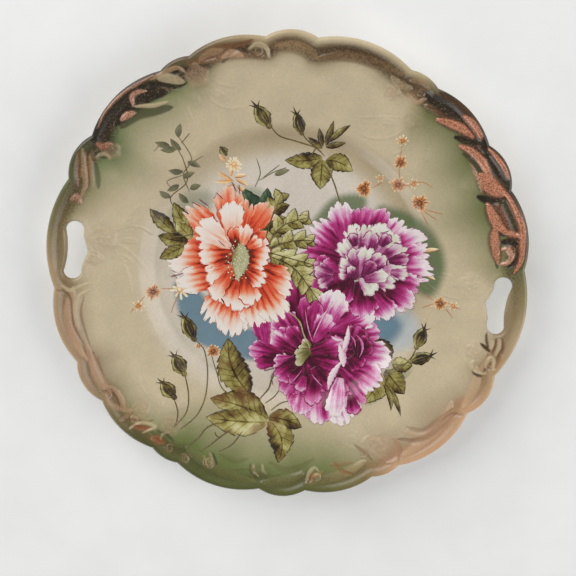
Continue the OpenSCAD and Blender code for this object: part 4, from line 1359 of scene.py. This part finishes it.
# Leaves: base, tip, half width, tone at the base and the tip, bend, teeth
LEAVES_TEAL = (
    ((-17, 24), (-30, 44), 7, 0.3, 0.5, 0, 6), ((-16, 26), (-17, 46), 5, 0.2, 0.6, 0, 6),
)
LEAVES_LOWER = (
    ((0, -89), (-35, -81), 8.5, 0.4, 0.5, -0.04, 9), ((0, -91), (-36, -92), 8.5, 0.75, 0.45, 0.03, 6),
    ((-13, -77), (-29, -45), 9.5, 0.3, 0.45, 0.12, 9),
    ((0, -88), (20, -91), 6, 0.3, 0.4, 0.06, 5), ((1, -90), (9, -113), 7.5, 0.6, 0.25, 0.2, 7),
)
LEAVES_RIGHT = (
    ((66, -45), (54, -33), 6.5, 0.45, 0.35, 0, 6), ((67, -46), (78, -44), 4.5, 0.4, 0.5, 0, 5),
    ((64, -50), (76, -61), 6.5, 0.4, 0.35, 0, 6), ((62, -52), (54, -71), 7, 0.35, 0.5, 0.05, 7),
    ((64, -56), (76, -74), 1.6, 0.3, 0.3, 0.05, 4), ((64, -58), (70, -72), 1.4, 0.3, 0.3, 0.1, 4),
)
LEAVES_TOP = (
    ((11, 67), (-9, 63), 4.5, 0.35, 0.5, 0.05, 6), ((11, 66), (12, 50), 6, 0.4, 0.45, 0, 6),
    ((13, 66), (28, 62), 5, 0.35, 0.55, 0.1, 6), ((10, 73), (7, 83), 1.5, 0.2, 0.3, 0, 4),
    ((12, 74), (14, 88), 1.6, 0.3, 0.3, 0, 4), ((13, 76), (23, 87), 1.6, 0.3, 0.3, 0.05, 4),
    ((12, 73), (22, 77), 1.6, 0.3, 0.3, 0, 4), ((10, 72), (2, 77), 1.4, 0.3, 0.3, 0, 4),
)
LEAVES_LEFT = (
    ((-56, 15), (-68, 31), 5, 0.4, 0.55, 0.05, 6), ((-56, 12), (-66, 20), 5, 0.45, 0.7, 0, 6),
    ((-58, 10), (-75, 11), 5, 0.3, 0.45, 0.05, 6), ((-60, 7), (-73, -2), 4, 0.35, 0.5, 0, 5),
    ((-66, 14), (-80, 27), 4, 0.25, 0.4, 0.05, 5),
)
# Buds: base, tip, half width
BUDS = (
    ((-49, -48), (-57, -34), 4.4), ((-52, -68), (-60, -57), 4.1), ((-56, -82), (-65, -73), 4.1),
    ((79, -33), (82, -20), 3.6), ((77, -42), (89, -35), 3.6), ((-20, 81), (-29, 92), 4.4),
    ((-2, 79), (-7, 91), 3.2), ((-42, 62), (-45, 66), 2.2),
)
# Stems: width, then points
STEMS = (
    (0.9, ((-49, -48), (-42, -55), (-38, -75), (-41, -90), (-50, -100))),
    (0.9, ((-52, -67), (-48, -80), (-48, -90), (-53, -98))),
    (0.9, ((-56, -83), (-53, -90), (-53, -96), (-54, -99))),
    (0.9, ((-14, -98), (-19, -106), (-26, -111))),
    (1.0, ((-20, -97), (-27, -103), (-31, -107), (-37, -112))),
    (1.0, ((-28, -94), (-35, -98), (-39, -104), (-44, -109))),
    (0.7, ((-27, -103), (-29, -102), (-30, -100))), (0.7, ((5, -72), (2, -77), (-3, -81))),
    (0.7, ((11, -78), (6, -80), (1, -84))),
    (1.0, ((79, -34), (77, -40), (72, -47), (66, -52))), (0.8, ((77, -42), (72, -45), (66, -50))),
    (0.9, ((-20, 82), (-14, 76), (-4, 74), (6, 72), (12, 68))), (0.8, ((-2, 79), (2, 75), (10, 70))),
    (0.9, ((12, 64), (18, 56), (22, 48), (24, 43))), (0.8, ((4, 66), (8, 74), (12, 76))),
    (1.0, ((-7, -80), (-2, -73), (-1, -67), (2, -60))), (0.9, ((2, -60), (6, -54), (11, -49))),
    (0.7, ((-66, 26), (-70, 34), (-62, 44), (-64, 56), (-70, 66))),
    (0.7, ((-38, -56), (-34, -66), (-28, -76), (-12, -82))), (0.9, ((-54, 15), (-64, 12), (-74, 10))),
)
# A greyed vine: its threads, and the base and tip of each leaf
VINE = (
    ((-60, 38), (-64, 48), (-60, 58), (-68, 70)), ((-64, 48), (-72, 44), (-70, 40)),
    ((-66, 62), (-76, 64), (-80, 60)), ((-66, 66), (-62, 72)), ((-62, 54), (-54, 60)),
    ((-24, 46), (-22, 54), (-25, 62)), ((-22, 50), (-14, 56), (-8, 59)), ((-20, 52), (-12, 60)),
)
VINE_LEAVES = (
    ((-66, 62), (-72, 68)), ((-68, 63), (-77, 61)), ((-72, 64), (-80, 65)), ((-68, 69), (-67, 77)),
    ((-64, 50), (-72, 50)), ((-64, 46), (-58, 50)), ((-62, 56), (-55, 53)), ((-66, 42), (-72, 38)),
    ((-60, 40), (-54, 43)), ((-70, 34), (-76, 38)), ((-60, 32), (-66, 37)), ((-14, 54), (-6, 58)),
)
# Gilt sprigs: centre, size before SPRIG_SCALE, rays, tone
SPRIGS = (
    ((36, 53), 4.6, 16, 0.35), ((54, 58), 4.6, 14, 0.35), ((53, 71), 4, 12, 0.4),
    ((67, 50), 4.8, 16, 0.35), ((88, -5), 4.2, 12, 0.35), ((-75, -22), 4.4, 14, 0.35),
    ((-37, -54), 4.2, 14, 0.35), ((52, 83), 3.2, 8, 0.6), ((95, -5), 3, 6, 0.7),
    ((-82, -30), 3.4, 7, 0.65), ((-46, -52), 2.6, 6, 0.6), ((62, 60), 3, 6, 0.7),
    ((44, 60), 2.6, 6, 0.7), ((-37, 57), 4.4, 14, 0.9), ((-60, -19), 5.5, 9, 1.0),
)
# Fine gilt stalks, and small gilt leaves: base, tip
SPRIG_THREADS = (
    ((54, 62), (53, 67), (52, 80)), ((57, 58), (66, 62), (72, 60)), ((70, 47), (80, 46)),
    ((70, 46), (78, 42)), ((69, 45), (74, 38)), ((40, 54), (46, 58)), ((92, -4), (99, -6)),
    ((91, -7), (96, -12)), ((84, -4), (78, -2)), ((84, -6), (79, -10)), ((-79, -24), (-86, -34)),
    ((-71, -20), (-64, -19)), ((-60, -19), (-64, -34)), ((-33, -54), (-26, -52)),
)
GOLD_LEAVES = (
    ((-37, 48), (-46, 52)), ((-36, 48), (-47, 46)), ((-35, 46), (-42, 42)), ((-35, 49), (-28, 46)),
    ((-36, 50), (-29, 52)), ((-38, 50), (-38, 58)), ((-34, 45), (-28, 42)), ((-42, 58), (-46, 62)),
    ((74, 22), (82, 26)), ((76, 10), (83, 8)),
)


def add_flower(name, layers, stops_of, slot, replaced, streak, hold, rough):
    """A flower as two or three pieces, from its outer petals to its heart. Each petal lies a
    little higher than the one before, over a darker and larger one that is its outline."""
    level = 0
    for k, (label, petals) in enumerate(layers):
        sheet = Sheet()
        for row, (base, tip, half, low, high) in enumerate(petals):
            seed = 100 * (k + 1) + 13 * row + len(name)
            lift = 0.06 + 0.014 * (level + row)
            dark = (low - 0.05, low + (0.45 if k == 0 else 0.2))
            petal(sheet, base, tip, half, dark, lift - 0.007, 0, seed, rough=rough, rim=0,
                  crown=0, margin=0.2 if k == 0 else 0.7)
            petal(sheet, base, tip, half, (low, high), lift, 0, seed, rough=rough, hold=hold)
        level += len(petals)
        piece = name + "_" + label
        sheet.make(piece, enamel_material(piece, stops_of[k], streak), slot, replaced)


def add_stamens():
    """The dotted pistil and the beads round it in the coral flower, and the pale petals and
    threads in the lower magenta one."""
    creamy = enamel_material("stamen_enamel", CREAMY, 0.4)
    sheet = Sheet()

    def arc_bead(x, reach_x, reach_y, angle, r, tone, lift):
        bead(sheet, (x + reach_x * math.cos(angle), 3 + reach_y * math.sin(angle)), r, tone, lift)

    leaf(sheet, (-28, 13), (-28, -9), 4.9, (0.5, 0.75), 0.46, 0.03, 5, 12, 0.04, 0.14)
    for k in range(30):
        r = math.sqrt((k + 0.5) / 30)
        arc_bead(-27.6, 3.6 * r, 8.6 * r, 2.4 * k, 0.4, 0.7 + 0.2 * (k % 2), 0.56)
    for k in range(34):
        angle = math.radians(95 + 210 * k / 33 + 5 * math.sin(9 * k))
        r = 1 + 0.16 * math.sin(5 * k)
        arc_bead(-28, 6.6 * r, 11 * r, angle, 0.42, 0.3 + 0.6 * (k % 2), 0.5)
    for k in range(12):
        arc_bead(-26, 3.6, 8, math.radians(-80 + 160 * k / 11), 0.42, 0.1 + 0.6 * (k % 2), 0.5)
    sheet.make("stamens_coral", creamy, "gilt_enamel", ["peony_coral"])
    sheet = Sheet()
    for k, (base, tip, half) in enumerate((((19, -46), (11, -55), 3), ((19, -45), (10, -49), 3),
                                           ((19, -44), (12, -44), 2.4), ((19, -43), (14, -39), 2))):
        petal(sheet, base, tip, half, (0.1, 0.7), 0.58 + 0.02 * k, 0.1, 40 + k, lobes=2, narrow=0.5)
    thread(sheet, ((6, -25), (11, -29), (14, -36), (19, -44)), 0.9, 0.4, 0.64)
    thread(sheet, ((4, -24), (9, -27), (13, -33)), 0.5, 0.6, 0.64)
    sheet.make("stamens_magenta", creamy, "gilt_enamel", ["peony_magenta_lower"])


# Pale folded edges over the lower flower: base, tip, half width, bend, teeth, tone
FOLDS = (
    ((38, -44), (39, -27), 1.8, -0.06, 6, 1), ((40, -53), (35, -39), 2.4, -0.05, 6, 1),
    ((33, -68), (39, -49), 2.2, 0.08, 7, 1), ((37, -36), (30, -35), 1.4, 0.1, 4, 0.9),
    ((44, -32), (48, -46), 0.9, 0.2, 5, 0.66), ((41, -33), (45, -40), 0.6, 0.1, 4, 0.6),
    ((20, -38), (28, -14), 0.5, 0.03, 5, 0.8), ((16, -58), (8, -70), 0.45, 0.04, 4, 0.66),
    ((20, -40), (13, -20), 0.45, 0.04, 5, 0.7), ((22, -60), (30, -67), 0.45, -0.05, 4, 0.66),
)
# Fine dark lines over the petals
PETAL_LINES = (
    ((0, -70), (-1, -64), (4, -56), (11, -49)), ((-6, -62), (3, -58), (12, -55)),
    ((41, 2), (44, 5)), ((36, 8), (38, 3)), ((34, -4), (36, -10)), ((46, -36), (47, -46)),
    ((-41, 13), (-37, 10)), ((-58, 33), (-53, 31)), ((-54, 35), (-49, 32)), ((-45, 40), (-41, 37)),
    ((-37, 47), (-34, 42)), ((-33, 46), (-32, 41)), ((-66, -12), (-59, -9)), ((-12, -44), (-7, -46)),
)


def add_petal_lines():
    """The folded edges and the fine lines that the printer drew over the petals."""
    folds, lines = Sheet(), Sheet()
    for base, tip, half, bend, teeth, tone in FOLDS:
        leaf(folds, base, tip, half, (tone - 0.08, tone), 0.62, bend, teeth, teeth, 0.3)
    folds.make("petal_folds", enamel_material("fold_enamel", MAGENTA, 0.1), "magenta_enamel",
               ["peony_magenta_lower"])
    for points in PETAL_LINES:
        thread(lines, points, 0.35, 0.06, 0.58, 0.1)
    lines.make("petal_lines", enamel_material("line_enamel", MAGENTA, 0.1), "magenta_enamel",
               ["peony_coral"])


def add_leaves(green):
    """The toothed leaves in their groups, and the lobed leaves between the flowers."""
    rusty = enamel_material("rusty_leaf_enamel", LEAF, veins=True, rust=0.6)
    shaded = enamel_material("shaded_leaf_enamel", TEAL, veins=True)
    groups = (("lower", LEAVES_LOWER, rusty), ("right", LEAVES_RIGHT, green),
              ("top", LEAVES_TOP, green), ("left", LEAVES_LEFT, green), ("shaded", LEAVES_TEAL, shaded))
    for k, (label, leaves, material) in enumerate(groups):
        sheet = Sheet()
        for row, (base, tip, half, low, high, bend, teeth) in enumerate(leaves):
            outlined_leaf(sheet, base, tip, half, (low, high), 0.05 + 0.025 * row, bend,
                          10 * k + row, teeth)
        sheet.make("foliage_" + label, material, "leaf_enamel", ["foliage"])
    sheet = Sheet()
    for k, (points, reach, count, tone) in enumerate(FRONDS):
        frond(sheet, points, reach, count, tone, 0.05 + 0.02 * k, 50 + 20 * k)
    sheet.make("foliage_middle", green, "leaf_enamel", ["foliage"])


def add_buds(green):
    """Rosebuds: a green body between three narrow sepals, over a round base."""
    buds = Sheet()
    for k, (base, tip, half) in enumerate(BUDS):
        base, axis, _, _ = axis_of(base, tip)
        across = np.array([-axis[1], axis[0]])
        outlined_leaf(buds, base, base + axis * 0.95, half, (0.4, 0.66), 0.06, 0, k, 3)
        for side, reach in ((0.22, 1.08), (-0.24, 1.02), (0.04, 1.2)):
            leaf(buds, base, base + axis * reach + across * side, half * 0.24, (0.25, 0.0), 0.12,
                 -side * 0.9, k, 4, 0.1)
        bead(buds, base, half * 0.4, 0.2, 0.1)
    buds.make("buds", green, "leaf_enamel", ["rosebuds"])


def add_foliage():
    """Leaves, stems, buds and the greyed vine."""
    green = enamel_material("leaf_enamel", LEAF, veins=True)
    add_leaves(green)
    stems = Sheet()
    for width, points in STEMS:
        thread(stems, points, width * 0.9, 0.14, 0.03)
    stems.make("stems", enamel_material("stem_enamel", LEAF, 0.2), "leaf_enamel", ["foliage"])
    add_buds(green)
    vine = Sheet()
    for points in VINE:
        thread(vine, points, 0.6, 0.3, 0.02)
    for k, (base, tip) in enumerate(VINE_LEAVES):
        leaf(vine, base, tip, 1.8, (0.2, 0.6), 0.03, 0.05, k, 4, 0.05)
    vine.make("vine", enamel_material("vine_enamel", GREYED, veins=True), "leaf_enamel", ["foliage"])


def add_sprigs():
    """The gilt sprays: starry flowers, their stalks and their small leaves."""
    sheet = Sheet()
    for k, (centre, size, rays, tone) in enumerate(SPRIGS):
        star(sheet, centre, size, rays, tone, 0.05, 20 * k)
    for points in SPRIG_THREADS:
        thread(sheet, points, 0.45, 0.4, 0.03)
    for k, (base, tip) in enumerate(GOLD_LEAVES):
        leaf(sheet, base, tip, 1.3, (0.7, 0.95), 0.03, 0.05, k, 4, 0.05)
    sheet.make("gilt_sprays", enamel_material("gilt_enamel", GILT, 0.3), "gilt_enamel", ["gilt_sprigs"])


def add_bouquet():
    """Everything printed on the glaze, from the lowest enamel to the topmost lines."""
    add_foliage()
    add_sprigs()
    add_flower("peony_coral", (("back", CORAL_BACK), ("front", CORAL_FRONT)), (CORAL, CORAL),
               "coral_enamel", ["peony_coral"], 0.3, 0.22, 0.2)
    add_flower("peony_upper", (("back", UPPER_BACK), ("front", UPPER_FRONT), ("heart", UPPER_HEART)),
               (MAGENTA, PALE, PALE), "magenta_enamel", ["peony_magenta_upper"], 0.4, 0.3, 0.18)
    add_flower("peony_lower", (("back", LOWER_BACK), ("front", LOWER_FRONT)), (MAGENTA, MAGENTA),
               "magenta_enamel", ["peony_magenta_lower"], 0.5, 0.3, 0.11)
    add_stamens()
    add_petal_lines()


# ---------------------------------------------------------------- stage, lights, camera
RIM_CENTRE = np.array([0, 0, 0.025])
VIEW_DISTANCE = 0.5
VIEW_TILT = math.radians(16.2)
VIEW_ROLL = math.radians(7.5)
VIEW_SHIFT = (0.003, -0.0134)
LENS = 56.7
LIGHT_AIM = Vector((0, 0, 0.01))
FLOOR_HALF = 3.0


def add_camera():
    """The photograph's view: from high in front, tilted and rolled a little."""
    data = bpy.data.cameras.new("camera")
    data.lens, data.sensor_width, data.clip_start = LENS, 36, 0.02
    data.shift_x, data.shift_y = VIEW_SHIFT
    camera = link("camera", data)
    back = np.array([0, math.sin(VIEW_TILT), math.cos(VIEW_TILT)])
    up = np.array([0, math.cos(VIEW_TILT), -math.sin(VIEW_TILT)])
    right = np.array([1.0, 0, 0])
    c, s = math.cos(VIEW_ROLL), math.sin(VIEW_ROLL)
    right, up = right * c + up * s, up * c - right * s
    at = RIM_CENTRE + back * VIEW_DISTANCE
    camera.matrix_world = Matrix([[right[k], up[k], back[k], at[k]] for k in range(3)] + [[0, 0, 0, 1]])
    bpy.context.scene.camera = camera


def add_light(name, at, size, watts):
    """A soft square lamp that faces the plate."""
    data = bpy.data.lights.new(name, "AREA")
    data.size, data.energy = size, watts
    lamp = link(name, data)
    lamp.location = at
    lamp.rotation_euler = (LIGHT_AIM - Vector(at)).to_track_quat("-Z", "Y").to_euler()


def add_stage():
    """A pale floor, a dim even surround and three lamps."""
    h = FLOOR_HALF
    mesh = bpy.data.meshes.new("floor")
    mesh.from_pydata([(-h, -h, 0), (h, -h, 0), (h, h, 0), (-h, h, 0)], [], [(0, 1, 2, 3)])
    n = Nodes("floor_paper")
    colour = n.ramp(n.noise(30, 2), ((0.3, srgb(246, 246, 245)), (0.7, srgb(250, 250, 249))))
    mesh.materials.append(n.finish(colour, 0.9, coat=0))
    floor = link("floor", mesh)
    world = bpy.data.worlds.new("studio")
    bpy.context.scene.world = world
    world.use_nodes = True
    surround = world.node_tree.nodes["Background"]
    surround.inputs[0].default_value = (1, 1, 1, 1)
    surround.inputs[1].default_value = 0.2
    add_light("key", (-1.15, 1.05, 0.95), 1.7, 29)
    add_light("fill", (1.5, -0.1, 0.85), 1.7, 21)
    add_light("back", (-0.9, -1.5, 0.5), 0.8, 7)
    bpy.context.scene.view_settings.view_transform = "Standard"


add_camera()
add_stage()
plate_glaze = add_plate()
add_well(plate_glaze)
add_foot()
add_bouquet()
